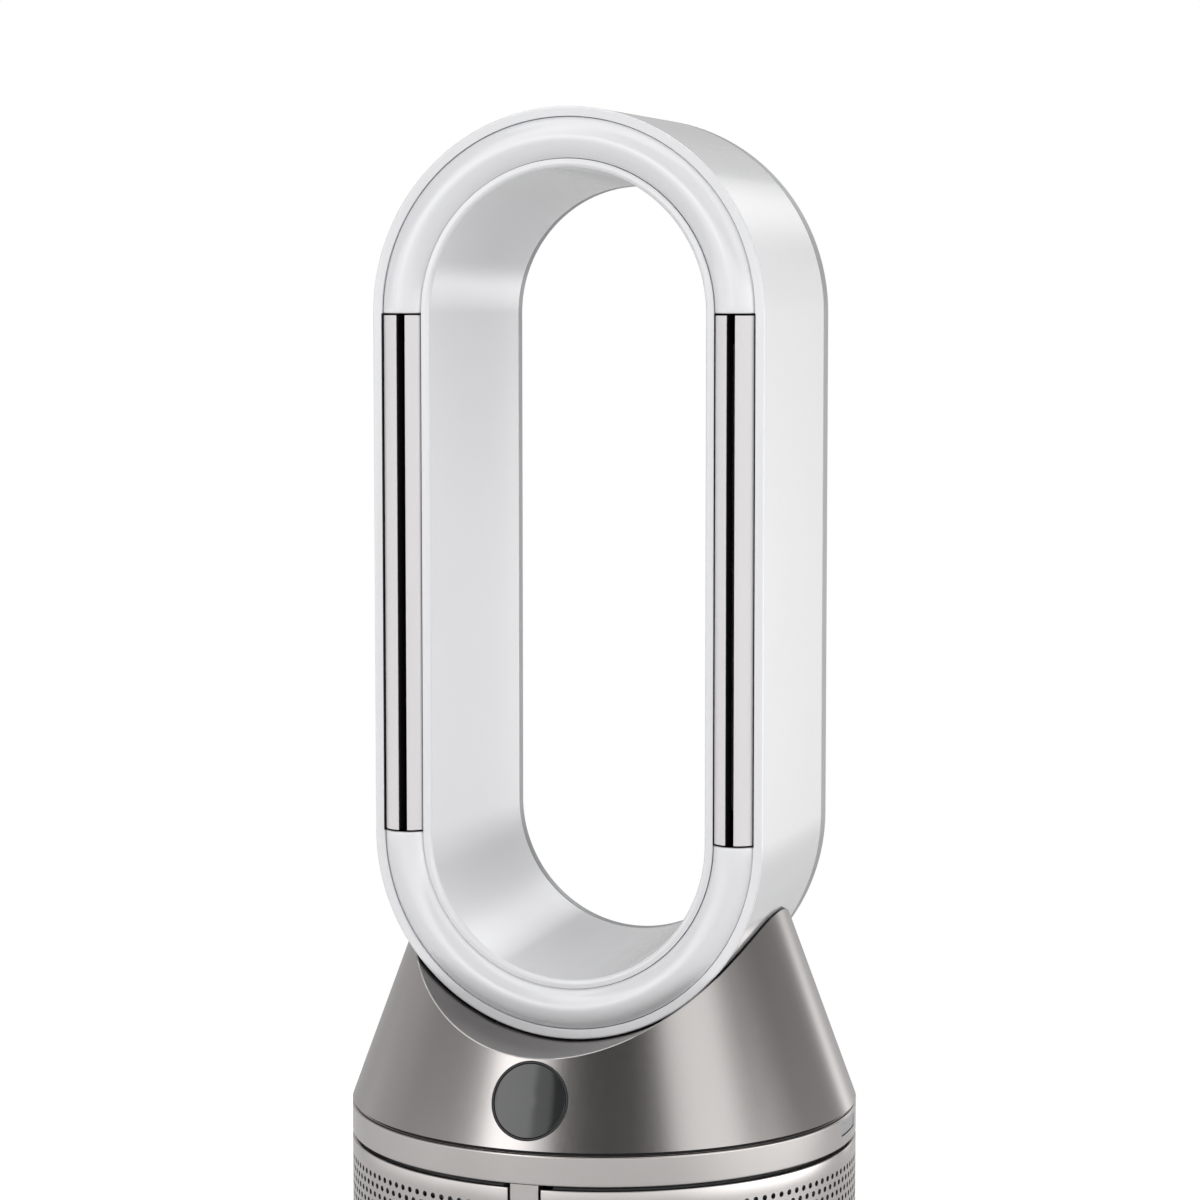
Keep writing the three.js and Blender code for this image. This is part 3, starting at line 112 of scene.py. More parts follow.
BAND_WALL = 2.4 * MM
TRIM_GROW = 0.2 * MM  # the grooves round the trims are this much narrower than GROOVE
SLOT_LIP = 9 * MM
SLOT_LIP_WALL = 1.68 * MM
SLOT_ROUND = 0.5 * MM
PLATE_SHRINK = 0.05 * MM  # and those beside the plates this much wider
PLATE_ROUND = 0.3 * MM
TRIM_END = 0.8 * MM
CONE_SLOPE = 0.367
CONE_WALL = 2.5 * MM
LOOP_RAISE = LOW_ARC_Z - CONE_Z
SADDLE_GAP = 1.0 * MM
SADDLE_RISE = 2.6 * MM
SADDLE_ROUND = 0.5 * MM
SHADE_SHEET_REACH = 66  # degrees each way from the floor's lowest line
SHADE_SHEET_RINGS = 121
SHADE_SHEET_NARROWEST = 8 * MM
DISPLAY_RADIUS = 17.2 * MM
BEZEL_INNER = 17.5 * MM
BEZEL_OUTER = 18.3 * MM
DISPLAY_HOLE = 18.6 * MM
DISPLAY_RISE = 21.5 * MM
LENS_DEPTH, LENS_ROUND = 2 * MM, 0.3 * MM
BEZEL_DEPTH, BEZEL_ROUND = 3.4 * MM, 0.2 * MM
NECK_X, NECK_Y, NECK_CORNER = 50.6 * MM, 32.6 * MM, 12.6 * MM
BODY_WALL = 2.5 * MM
BODY_ROUND = 0.8 * MM
DECK = 3 * MM  # thickness of the decks and the floors
SPIGOT_RISE = 2.5 * MM
BUCKET_HOLE = 64.8 * MM
BUTTON_COLUMNS = 12
BUTTON_ROUND = 0.5 * MM
BUTTON_DEPTH = 8.5 * MM
BUTTON_CUT = 30 * MM
SPINE_WIDTH = 14 * MM
SPINE_DEPTH = 12 * MM
SPINE_GAP = 1 * MM
HOUSING_BORE = 26.8 * MM
HOUSING_ROUND = 4.5 * MM
BASE_ROUND = 3.5 * MM
GLAND_BORE = 3.3 * MM
SHROUD_WALL = 2.2 * MM
SHROUD_BORDER = 7 * MM
SHROUD_BEVEL = 0.5 * MM
HOLE_RADIUS = 1.45 * MM
HOLE_COLUMNS = 68
PLEATS = 84
PAPER = 0.9 * MM
FILTER_OUTER = 118 * MM
FILTER_DEPTH = 16 * MM
FILTER_CAP = 4 * MM
FILTER_END = math.radians(6.5)
CARBON_INNER, CARBON_OUTER = 84 * MM, 97 * MM

ARC_STEPS = 72  # steps round each half circle of the loop
ROUND_STEPS = 192  # steps round the body
DISPLAY_STEPS = 96
DISC_STEPS = 64
HOLE_STEPS = 48
ARC_ANGLE = math.radians(11)  # largest turn between two points of a rounded corner
SHARP = math.radians(32)  # edges that turn more than this stay crisp
SHROUD_SHARP = math.radians(50)
LONG_STEP = 20 * MM  # rings further apart than this lie at the ends of a straight
FACING = 0.985  # least cosine between a face and the true surface that it lies on


# ==================== meshes

def new_piece(name, verts, faces, materials, face_materials=None, sharp=SHARP):
    """A smooth shaded mesh object whose faces point outward."""
    mesh = bpy.data.meshes.new(name)
    mesh.from_pydata([tuple(v) for v in verts], [], [tuple(f) for f in faces])
    for material in materials:
        mesh.materials.append(material)
    if face_materials is not None:
        mesh.polygons.foreach_set("material_index", np.asarray(face_materials, np.int32))
    tidy = bmesh.new()
    tidy.from_mesh(mesh)
    bmesh.ops.remove_doubles(tidy, verts=tidy.verts, dist=1e-6)
    bmesh.ops.recalc_face_normals(tidy, faces=tidy.faces)
    tidy.to_mesh(mesh)
    tidy.free()
    piece = bpy.data.objects.new(name, mesh)
    bpy.context.scene.collection.objects.link(piece)
    smooth(piece, sharp)
    return piece


def smooth(piece, sharp=SHARP):
    piece.data.shade_smooth()
    piece.data.set_sharp_from_angle(angle=sharp)
    even = piece.modifiers.new("even", "WEIGHTED_NORMAL")
    even.keep_sharp = True


def dress(piece, body, slot, *nodes):
    """The piece rides on a body and stands for CAD nodes, which are hidden; the slot is not used.
    """
    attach(piece, body)
    if nodes:
        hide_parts(*nodes)


def carve(piece, *cutters):
    """Cuts the cutters out of the piece and deletes them."""
    piece.modifiers.clear()
    for cutter in cutters:
        cut = piece.modifiers.new("cut", "BOOLEAN")
        cut.operation = "DIFFERENCE"
        cut.solver = "EXACT"
        cut.object = cutter
    seen = piece.evaluated_get(bpy.context.evaluated_depsgraph_get())
    carved = bpy.data.meshes.new_from_object(seen)
    piece.modifiers.clear()
    old = piece.data
    piece.data = carved
    bpy.data.meshes.remove(old)
    for cutter in cutters:
        bpy.data.objects.remove(cutter)
    smooth(piece)


# Outlines are closed lists of corners (a, b, radius, finish): the finish is the index of the
# material on the side that starts at that corner.

def rounded(corners):
    """The points of an outline with rounded corners, and the finish of the side after each."""
    points, finishes = [], []
    for i, (a, b, radius, finish) in enumerate(corners):
        here = Vector((a, b))
        back = Vector(corners[i - 1][:2]) - here
        ahead = Vector(corners[(i + 1) % len(corners)][:2]) - here
        if radius == 0:
            points.append(here)
            finishes.append(finish)
            continue
        angle = back.angle(ahead)
        reach = radius / math.tan(angle / 2)
        start = here + back.normalized() * reach
        between = (back.normalized() + ahead.normalized()).normalized()
        centre = here + between * radius / math.sin(angle / 2)
        turn = (start - centre).angle_signed(here + ahead.normalized() * reach - centre)
        steps = max(2, math.ceil(abs(turn) / ARC_ANGLE))
        for k in range(steps + 1):
            points.append(centre + Matrix.Rotation(-turn * k / steps, 2) @ (start - centre))
            finishes.append(finish)
    return points, finishes


def inset(points, distance):
    """The closed outline moved inward by a distance."""
    count = len(points)
    area = sum(points[i - 1].x * points[i].y - points[i].x * points[i - 1].y for i in range(count))
    side = 1 if area > 0 else -1
    moved = []
    for i, here in enumerate(points):
        back = (here - points[i - 1]).normalized()
        ahead = (points[(i + 1) % count] - here).normalized()
        normal = Vector((-(back.y + ahead.y), back.x + ahead.x)).normalized() * side
        slant = max(0.5, normal.dot(Vector((-ahead.y, ahead.x)) * side))
        moved.append(here + normal * distance / slant)
    return moved


def circle(steps):
    """The cosines and sines of equal steps round a full turn."""
    angles = [2 * math.pi * i / steps for i in range(steps)]
    return [(math.cos(angle), math.sin(angle)) for angle in angles]


def strip(here, ahead, size):
    """The faces between two rings of points that start at the given indices."""
    sides = [(k, (k + 1) % size) for k in range(size)]
    return [(here + k, here + n, ahead + n, ahead + k) for k, n in sides]


def skin(name, rings, closed, materials, finishes, end_finish=0):
    """Joins equal rings of points into a tube. Open tubes get end faces of end_finish.

    Finish 2 is white where the rings lie close together and black, as painted shade, on the long
    straights, where the grooves beside the plates lie deep in shade.
    """
    rings = [[Vector(p) for p in ring] for ring in rings]
    size = len(rings[0])
    faces, kinds = [], []
    for i in range(len(rings) if closed else len(rings) - 1):
        ahead = (i + 1) % len(rings)
        faces += strip(i * size, ahead * size, size)
        straight = (rings[i][0] - rings[ahead][0]).length > LONG_STEP
        kinds += [int(straight) if finish == 2 else finish for finish in finishes]
    if not closed:
        last = (len(rings) - 1) * size
        faces += [range(size - 1, -1, -1), range(last, last + size)]
        kinds += [end_finish, end_finish]
    return new_piece(name, [p for ring in rings for p in ring], faces, materials, kinds)


def turned(name, corners, materials):
    """A ring turned round Z from an outline's corners in (radius, z)."""
    points, finishes = rounded(corners)
    rings = [[(p.x * cos, p.x * sin, p.y) for p in points] for cos, sin in circle(ROUND_STEPS)]
    return skin(name, rings, True, materials, finishes)


def upright(name, outline, low, high, materials):
    """A bar between two heights, from an outline in (x, y)."""
    rings = [[(x, y, z) for x, y in outline] for z in (low, high)]
    return skin(name, rings, False, materials, [0] * len(outline))


def round_piece(name, node, profile, closed, material):
    """A piece round a line along Y through a node's middle height, from (radius, y) points."""
    middle = middle_height(node)
    rings = [
        [(radius * cos, y, middle + radius * sin) for cos, sin in circle(DISC_STEPS)]
        for radius, y in profile
    ]
    return skin(name, rings, closed, [material], [0] * DISC_STEPS)


def cylinder(radius, start, end, steps=HOLE_STEPS):
    """A plain rod between two points, to cut with."""
    start, axis = Vector(start), Vector(end) - Vector(start)
    turn = axis.to_track_quat("Z", "Y").to_matrix()
    rings = [
        [start + turn @ Vector((radius * cos, radius * sin, along)) for cos, sin in circle(steps)]
        for along in (0, axis.length)
    ]
    return skin("cutter", rings, False, [], [0] * steps)


# -------------------- paths round the loop

def half_circle(side):
    """Stations (centre height, cos, sin) over the top (side 1) or the bottom (-1) half circle."""
    middle = HIGH_ARC_Z if side > 0 else LOW_ARC_Z
    start = 0 if side > 0 else math.pi
    angles = [start + math.pi * i / ARC_STEPS for i in range(ARC_STEPS + 1)]
    return [(middle, math.cos(angle), math.sin(angle)) for angle in angles]


def place(points, station):
    """An outline in (distance from the loop's centre line, y), stood up at a station."""
    height, cos, sin = station
    return [(p.x * cos, p.y, height + p.x * sin) for p in points]


def loop_ring(name, corners, materials):
    points, finishes = rounded(corners)
    stations = half_circle(1) + half_circle(-1)
    return skin(name, [place(points, s) for s in stations], True, materials, finishes)


# ==================== materials

def nodes_of(name):
    material = bpy.data.materials.new(name)
    material.use_nodes = True
    tree = material.node_tree
    return material, tree, tree.nodes["Principled BSDF"]


def connect(tree, value, socket):
    """Links the socket to another node's output, or sets it to a plain value or colour."""
    if isinstance(value, bpy.types.NodeSocket):
        tree.links.new(value, socket)
    elif socket.type == "RGBA":
        socket.default_value = (*value, 1)
    else:
        socket.default_value = value


def feed(tree, node, **inputs):
    """Sets or links the node's inputs; underscores in their names stand for spaces."""
    for name, value in inputs.items():
        connect(tree, value, node.inputs[name.replace("_", " ")])


def add(tree, kind, **inputs):
    node = tree.nodes.new("ShaderNode" + kind)
    feed(tree, node, **inputs)
    return node


def here_in(tree):
    """The shaded point in the object's own frame."""
    return add(tree, "TexCoord").outputs["Object"]


def noise(tree, scale, detail, stretch=(1, 1, 1)):
    """Noise in features per metre; stretch lengthens it along an axis."""
    where = add(tree, "Mapping", Vector=here_in(tree), Scale=[1 / s for s in stretch])
    texture = add(tree, "TexNoise", Vector=where.outputs["Vector"], Scale=scale, Detail=detail)
    return texture.outputs["Fac"]


def spread(tree, value, source, target=(0, 1), shape="LINEAR"):
    """Maps the source's range onto the target's."""
    ends = {"From_Min": source[0], "From_Max": source[1], "To_Min": target[0], "To_Max": target[1]}
    node = add(tree, "MapRange", Value=value, **ends)
    node.interpolation_type = shape
    return node.outputs["Result"]


def vary(tree, factor, low, high):
    """The noise, which seldom leaves 0.3 to 0.7, spread over a range of values."""
    return spread(tree, factor, (0.3, 0.7), (low, high))


def mixed(tree, factor, first, second):
    """Blends two colours, each a plain one or another node's output."""
    mix = add(tree, "Mix")
    mix.data_type = "RGBA"
    feed(tree, mix, Factor=factor, A=first, B=second)
    return mix.outputs["Result"]


def bump(tree, shader, factor, distance):
    node = add(tree, "Bump", Strength=1.0, Distance=distance, Height=factor)
    feed(tree, shader, Normal=node.outputs["Normal"])


def moulded(name, colour, roughness, *, metallic=0.0, tone=0.03, grain=900, depth=0.01 * MM,
            stretch=(1, 1, 1), shine=0.04, coat=0.0):
    """A moulded or coated surface: slight tone changes, an uneven shine and a fine grain."""
    material, tree, shader = nodes_of(name)
    cloud = vary(tree, noise(tree, 14, 2), 0, 1)
    darker = [c * (1 - tone) for c in colour]
    lighter = [min(1, c * (1 + tone)) for c in colour]
    fine = noise(tree, grain, 2, stretch)
    uneven = vary(tree, fine, roughness - shine, roughness + shine)
    feed(tree, shader, Base_Color=mixed(tree, cloud, darker, lighter), Roughness=uneven,
         Metallic=metallic, Coat_Weight=coat, Coat_Roughness=0.08)
    bump(tree, shader, fine, depth)
    return material


def pleated_paper(name):
    """Glass fibre paper: long fibres and a slight dust tone."""
    material, tree, shader = nodes_of(name)
    fibres = noise(tree, 700, 4, (1, 1, 6))
    colour = mixed(tree, fibres, (0.62, 0.66, 0.69), (0.8, 0.83, 0.84))
    feed(tree, shader, Base_Color=colour, Roughness=0.95)
    bump(tree, shader, fibres, 0.15 * MM)
    return material


def granular_carbon(name):
    """Dark carbon grains with a grainy bump."""
    material, tree, shader = nodes_of(name)
    grains = add(tree, "TexVoronoi", Vector=here_in(tree), Scale=420)
    distance = grains.outputs["Distance"]
    colour = mixed(tree, distance, (0.035, 0.035, 0.037), (0.006, 0.006, 0.006))
    feed(tree, shader, Base_Color=colour, Roughness=0.8)
    bump(tree, shader, distance, 0.6 * MM)
    return material


def circuit_board(name):
    """Green lacquer with paler copper areas under it."""
    material, tree, shader = nodes_of(name)
    tracks = add(tree, "TexBrick", Vector=here_in(tree), Scale=160, Color1=(0.02, 0.1, 0.035),
                 Color2=(0.03, 0.14, 0.05), Mortar=(0.08, 0.22, 0.09))
    feed(tree, shader, Base_Color=tracks.outputs["Color"], Roughness=0.35)
    bump(tree, shader, tracks.outputs["Fac"], 0.05 * MM)
    return material


def smoked_glass(name):
    """A glossy smoked window with a slightly cloudy tone."""
    material, tree, shader = nodes_of(name)
    cloud = vary(tree, noise(tree, 40, 1), 0, 1)
    colour = mixed(tree, cloud, (0.018, 0.019, 0.02), (0.026, 0.027, 0.028))
    feed(tree, shader, Base_Color=colour, Roughness=0.07, Coat_Weight=1.0, Coat_Roughness=0.03)
    return material


white = moulded("gloss_white", (0.885, 0.885, 0.905), 0.16, tone=0.006, grain=220,
                depth=0.001 * MM, shine=0.02, coat=1.0)
pearl = moulded("pearl_plate", (0.83, 0.805, 0.81), 0.16, tone=0.01, grain=220,
                depth=0.001 * MM, shine=0.02)
silver = moulded("silver_casing", (0.42, 0.425, 0.43), 0.36, metallic=0.45, grain=1200,
                 depth=0.002 * MM)
nickel = moulded("nickel", (0.60, 0.573, 0.56), 0.22, metallic=1.0, tone=0.015, grain=1000,
                 depth=0.001 * MM, stretch=(1, 1, 14), shine=0.01)
# A darker copy of the nickel for the saddle's floor: painted shade for the floor that lies in the
# loop's shadow.
saddle = moulded("saddle_floor_painted_shade", (0.25, 0.24, 0.235), 0.32, metallic=1.0, tone=0.02, grain=1000,
                 depth=0.001 * MM, shine=0.02)
rubber = moulded("rubber", (0.02, 0.02, 0.021), 0.8, tone=0.2, grain=1200, depth=0.05 * MM)
dark = moulded("dark_plastic", (0.03, 0.031, 0.033), 0.5, tone=0.1, grain=1500, depth=0.03 * MM)
grey = moulded("grey_plastic", (0.18, 0.185, 0.19), 0.5, tone=0.05, grain=1500, depth=0.03 * MM)
steel = moulded("steel", (0.45, 0.455, 0.46), 0.35, metallic=1.0, tone=0.08, stretch=(1, 1, 5))
nylon = moulded("nylon", (0.78, 0.76, 0.7), 0.5, tone=0.04, grain=1200, depth=0.02 * MM)
ceramic = moulded("ceramic", (0.45, 0.41, 0.35), 0.75, tone=0.12, grain=800, depth=0.1 * MM)
# Black painted shade: the insides of the shells, the groove walls below their white edges, the
# slots' walls and the trims' ends are coloured black to stand for the shade in them.
shade_black = moulded("painted_shade_black", (0.012, 0.012, 0.013), 0.7, tone=0.2, grain=1200, depth=0.05 * MM)
glass = smoked_glass("dark_glass")
paper = pleated_paper("filter_paper")
carbon = granular_carbon("charcoal")
board = circuit_board("circuit_board")

FINISHES = dict(
    gloss_white=white, pearl_plate=pearl, silver_casing=silver, nickel=nickel, rubber=rubber,
    dark_plastic=dark, grey_plastic=grey, dark_glass=glass, steel=steel, nylon=nylon,
    filter_paper=paper, charcoal=carbon, circuit_board=board, ceramic=ceramic,
)

for part in frame["record"]["subparts"]:
    for holder in frame["nodes"][part["node"]].material_slots:
        holder.material = FINISHES[part["material_slot"]]


# ==================== loop casings

def bore_radius(y):
    return BORE_RADIUS - BORE_TAPER * (y - LOOP_FRONT) / (LOOP_REAR - LOOP_FRONT)


def outer_casing():
    inside = LOOP_RADIUS - LOOP_WALL
    lip = BAND_OUTER + GROOVE
    piece = loop_ring("outer_casing_skin", [
        (LOOP_RADIUS, OUTER_SEAM, EDGE_ROUND, 0),
        (LOOP_RADIUS, LOOP_FRONT, RIM_ROUND, 0),
        (lip, LIP_FRONT, EDGE_ROUND, 2),
        (lip, LIP_FRONT + GROOVE_LIT, 0, 1),
        (lip, LIP_BACK, 0, 1),
        (lip + LIP_WALL, LIP_BACK, 0, 1),
        (lip + LIP_WALL, LOOP_FRONT + LOOP_WALL, 0, 1),
        (inside, LOOP_FRONT + RIM_ROUND, 0, 1),
        (inside, OUTER_SEAM, 0, 1),
    ], [white, shade_black])
    dress(piece, "turning_body", "gloss_white", "outer_casing")


def inner_casing():
    piece = loop_ring("inner_casing_skin", [
        (INNER_LIP, LIP_BACK, 0, 1),
        (INNER_LIP, LIP_FRONT + GROOVE_LIT, 0, 2),
        (INNER_LIP, LIP_FRONT, EDGE_ROUND, 0),
        (BORE_RADIUS, LOOP_FRONT, LIP_ROUND, 0),
        (bore_radius(INNER_SEAM), INNER_SEAM, EDGE_ROUND, 0),
        (bore_radius(INNER_SEAM) + LOOP_WALL, INNER_SEAM, 0, 1),
        (BORE_RADIUS + LOOP_WALL, LIP_BACK, 0, 1),
    ], [white, shade_black])
    dress(piece, "turning_body", "gloss_white", "inner_casing")


def rear_casing():
    outer_seam = low_corner("rear_casing").y
    inner_seam = INNER_SEAM + FIT
    bore = bore_radius(inner_seam)
    inside = LOOP_REAR - LOOP_WALL
    piece = loop_ring("rear_casing_skin", [
        (LOOP_RADIUS, outer_seam, EDGE_ROUND, 0),
        (LOOP_RADIUS, LOOP_REAR, REAR_ROUND, 0),
        (bore_radius(LOOP_REAR), LOOP_REAR, REAR_ROUND, 0),
        (bore, inner_seam, EDGE_ROUND, 0),
        (bore + LOOP_WALL, inner_seam, 0, 1),
        (bore + LOOP_WALL, inside, 0, 1),
        (LOOP_RADIUS - LOOP_WALL, inside, 0, 1),
        (LOOP_RADIUS - LOOP_WALL, outer_seam, 0, 1),
    ], [silver, shade_black])
    middle = (SLOT_INNER + SLOT_OUTER) / 2
    carve(piece, *[slot_cutter(side * middle) for side in (1, -1)])
    dress(piece, "turning_body", "silver_casing", "rear_casing")


def slot_cutter(x):
    """A long slot with nearly round ends through the rear casing."""
    half, radius = REAR_SLOT_LENGTH / 2, REAR_SLOT_WIDTH / 2
    points, finishes = rounded([
        (x + sx * radius, LOOP_MIDDLE_Z + sz * half, radius * 0.98, 0)
        for sx, sz in ((-1, -1), (1, -1), (1, 1), (-1, 1))
    ])
    ends = (LOOP_REAR - 3 * LOOP_WALL, LOOP_REAR + LOOP_WALL)
    rings = [[(p.x, y, p.y) for p in points] for y in ends]
    # the cut walls of the slots take the black painted shade
    return skin("cutter", rings, False, [shade_black], finishes)


# ==================== band: front trims and nozzle plates

def band_y(s, sink=0.0):
    """The place of the convex band's surface at a distance from the loop's centre line."""
    half = (BAND_OUTER - BAND_INNER) / 2
    radius = (half ** 2 + BAND_RISE ** 2) / (2 * BAND_RISE)
    centre_y = BAND_FRONT - BAND_RISE + radius
    radius -= sink
    offset = min(abs(s - (BAND_OUTER + BAND_INNER) / 2), radius)
    return centre_y - math.sqrt(radius ** 2 - offset ** 2)


def arc_corners(start, end, sink, finish, count=14):
    """Corners along the band's arc between two distances from the centre line."""
    steps = [start + (end - start) * i / count for i in range(count + 1)]
    return [(s, band_y(s, sink), 0, finish) for s in steps]


def trim_corners():
    inner = BAND_INNER + BAND_WALL
    outer = BAND_OUTER - BAND_WALL
    return [
        (BAND_INNER - TRIM_GROW, BAND_BACK, 0, 0),
        (BAND_INNER - TRIM_GROW, BAND_FRONT, EDGE_ROUND, 0),
        *arc_corners(BAND_INNER + 2 * EDGE_ROUND, BAND_OUTER - 2 * EDGE_ROUND, 0, 0, 24),
        (BAND_OUTER + TRIM_GROW, BAND_FRONT, EDGE_ROUND, 0),
        (BAND_OUTER + TRIM_GROW, BAND_BACK, 0, 1),
        (outer, BAND_BACK, 0, 1),
        *arc_corners(outer, inner, BAND_WALL, 1),
        (inner, BAND_BACK, 0, 1),
    ]


def front_trim(side, name):
    points, finishes = rounded(trim_corners())
    layers = ((inset(points, TRIM_END), 0), (inset(points, TRIM_END * 0.3), 0.3), (points, 1))
    first, *between, last = half_circle(side)
    ends = []
    for station in (first, last):
        ends.append([
            [(x, y, z + side * TRIM_END * share) for x, y, z in place(outline, station)]
            for outline, share in layers
        ])
    rings = ends[0] + [place(points, station) for station in between] + ends[1][::-1]
    # the trim's hidden back and its ends are black painted shade
    piece = skin(name + "_skin", rings, False, [white, shade_black], finishes, end_finish=1)
    dress(piece, "turning_body", "gloss_white", name)


def plate_corners(outward):
    """The plate beside the slot, on the outer or the inner side of it."""
    way = 1 if outward else -1
    edge = (BAND_OUTER if outward else BAND_INNER) - way * PLATE_SHRINK
    slot = SLOT_OUTER if outward else SLOT_INNER
    lip = slot + way * SLOT_LIP_WALL
    slot_y = band_y(slot)
    return [
        (edge, BAND_BACK, 0, 1),
        (edge, band_y(edge), PLATE_ROUND, 0),
        *arc_corners(edge - way * 2 * EDGE_ROUND, slot + way * 2 * SLOT_ROUND, 0, 0, 12),
        (slot, slot_y, SLOT_ROUND, 0),
        (slot, slot_y + SLOT_ROUND, 0, 1),
        (slot, slot_y + SLOT_LIP, 0, 1),
        (lip, slot_y + SLOT_LIP, 0, 1),
        *arc_corners(lip, edge - way * BAND_WALL, BAND_WALL, 1, 6),
        (edge - way * BAND_WALL, BAND_BACK, 0, 1),
    ]


def nozzle_plate(outward, side):
    points, finishes = rounded(plate_corners(outward))
    half = EDGE_ROUND / 2
    layers = ((inset(points, half), 0), (inset(points, half / 3), half / 3), (points, half))
    levels = [(outline, PLATE_LOW + rise) for outline, rise in layers]
    levels += [(outline, PLATE_HIGH - rise) for outline, rise in reversed(layers)]
    rings = [[(side * p.x, p.y, height) for p in outline] for outline, height in levels]
    name = f"{'outer' if outward else 'inner'}_nozzle_plate_{'right' if side > 0 else 'left'}"
    # the plate's back, its slot lip and its ends are black painted shade
    piece = skin(name + "_skin", rings, False, [pearl, shade_black], finishes, end_finish=1)
    dress(piece, "turning_body", "pearl_plate", name)


# ==================== cone, saddle and display

def cone_radius(height, sink=0.0):
    """Radius at a height above the cone's rim; sink is measured across the wall."""
    return BODY_RADIUS - CONE_SLOPE * height - sink * math.hypot(1, CONE_SLOPE)


def barrel_radius(y, grow):
    """The saddle's barrel narrows beyond the loop's front and back."""
    beyond = max(0.0, y - LOOP_REAR, LOOP_FRONT - y)
    reach = BODY_RADIUS + 1 * MM - (LOOP_REAR if y > 0 else -LOOP_FRONT)
    return LOOP_RADIUS + SADDLE_GAP + grow - SADDLE_RISE * beyond / reach


def floor_height(x, y, grow):
    return LOOP_RAISE - math.sqrt(max(0.0, barrel_radius(y, grow) ** 2 - x * x))


def saddle_edge(cos, sin, sink):
    """The height at which the cone's surface meets the saddle, in one direction."""
    low, high = 0.0, LOOP_RAISE * 0.8
    for _ in range(40):
        height = (low + high) / 2
        radius = cone_radius(height, sink)
        x, y = radius * cos, radius * sin
        outside = x * x + (height - LOOP_RAISE) ** 2 > barrel_radius(y, sink) ** 2
        low, high = (height, high) if outside else (low, height)
    return (low + high) / 2


def cone_rings(sink):
    """Rings of points from the rim up the cone's surface and over the saddle's floor."""
    ways = circle(2 * ROUND_STEPS)
    edges = [saddle_edge(cos, sin, sink) for cos, sin in ways]
    rings = []
    for share in np.linspace(0, 1, 13):
        ring = []
        for (cos, sin), edge in zip(ways, edges, strict=True):
            height = share * (edge - SADDLE_ROUND)
            radius = cone_radius(height, sink)
            ring.append((radius * cos, radius * sin, CONE_Z + height))
        rings.append(ring)
    for share in (1, 0.97, 0.93, 0.88, 0.8, 0.7, 0.5, 0.25, 0.02):
        ring = []
        for (cos, sin), edge in zip(ways, edges, strict=True):
            reach = share * (cone_radius(edge, sink) - SADDLE_ROUND)
            x, y = reach * cos, reach * sin
            ring.append((x, y, CONE_Z + floor_height(x, y, sink)))
        rings.append(ring)
    return rings


def cone_shell():
    rings = cone_rings(0) + cone_rings(CONE_WALL)[::-1]
    size = len(rings[0])
    half = len(rings) // 2
    faces = []
    for i in range(len(rings)):
        if i != half - 1:  # the outer floor isn't joined to the inner one at the axis
            faces += strip(i * size, (i + 1) % len(rings) * size, size)
    faces += [range(i * size, (i + 1) * size) for i in (half - 1, half)]
    verts = [p for ring in rings for p in ring]
    piece = new_piece("cone_shell_skin", verts, faces, [nickel, saddle])
    carve(piece, neck_cutter(), display_cutter())
    exact_normals(piece)
    # faces on the saddle's floor take the darker nickel, painted shade
    for face in piece.data.polygons:
        face.material_index = int(face.normal.dot(floor_normal(face.center)) > FACING)
    dress(piece, "turning_body", "nickel", "cone_shell")


def neck_cutter():
    signs = ((1, 1), (-1, 1), (-1, -1), (1, -1))
    points, _ = rounded([(sx * NECK_X, sy * NECK_Y, NECK_CORNER, 0) for sx, sy in signs])
    return upright("cutter", points, CONE_Z + 5 * MM, CONE_Z + LOOP_RAISE, [])


def saddle_shade_sheet():
    """A black sheet of painted shade on the saddle's floor under the loop, which darkens the gap
    beneath the loop; cut out round the neck.
    """
    radius = LOOP_RADIUS + SADDLE_GAP
    rings = []
    for degrees in np.linspace(-SHADE_SHEET_REACH, SHADE_SHEET_REACH, SHADE_SHEET_RINGS):
        angle = math.radians(degrees)
        x, height = radius * math.sin(angle), LOOP_RAISE - radius * math.cos(angle)
        room = cone_radius(height) ** 2 - x * x
        if room < SHADE_SHEET_NARROWEST ** 2:
            continue
        reach = math.sqrt(room) - 2 * SADDLE_ROUND
        front, rear = max(-reach, LOOP_FRONT), min(reach, LOOP_REAR)
        ring = []
        for y, rise in ((front, -FIT), (front, FIT / 3), (rear, FIT / 3), (rear, -FIT)):
            r = radius - rise
            ring.append((r * math.sin(angle), y, LOW_ARC_Z - r * math.cos(angle)))
        rings.append(ring)
    piece = skin("saddle_shade_sheet", rings, False, [shade_black], [0] * 4)
    low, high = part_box("loop_seal")
    seal = [(low.x, low.y), (high.x, low.y), (high.x, high.y), (low.x, high.y)]
    carve(piece, upright("cutter", seal, low.z - 10 * MM, high.z + 10 * MM, []))
    dress(piece, "turning_body", "rubber")


def display_frame():
    """The display's centre, its outward axis and the way up along the cone."""
    tilt = math.atan(CONE_SLOPE)
    centre = Vector((0, -cone_radius(DISPLAY_RISE), CONE_Z + DISPLAY_RISE))
    outward = Vector((0, -math.cos(tilt), math.sin(tilt)))
    upward = Vector((0, math.sin(tilt), math.cos(tilt)))
    return centre, outward, upward


def display_cutter():
    centre, outward, _ = display_frame()
    start, end = centre - outward * 4 * CONE_WALL, centre + outward * 2 * CONE_WALL
    return cylinder(DISPLAY_HOLE, start, end, DISPLAY_STEPS)


def cone_normal(p):
    flat = Vector((p.x, p.y, 0)).normalized()
    return (flat + Vector((0, 0, CONE_SLOPE))).normalized()


def floor_normal(p):
    return Vector((-p.x, 0, LOW_ARC_Z - p.z)).normalized()


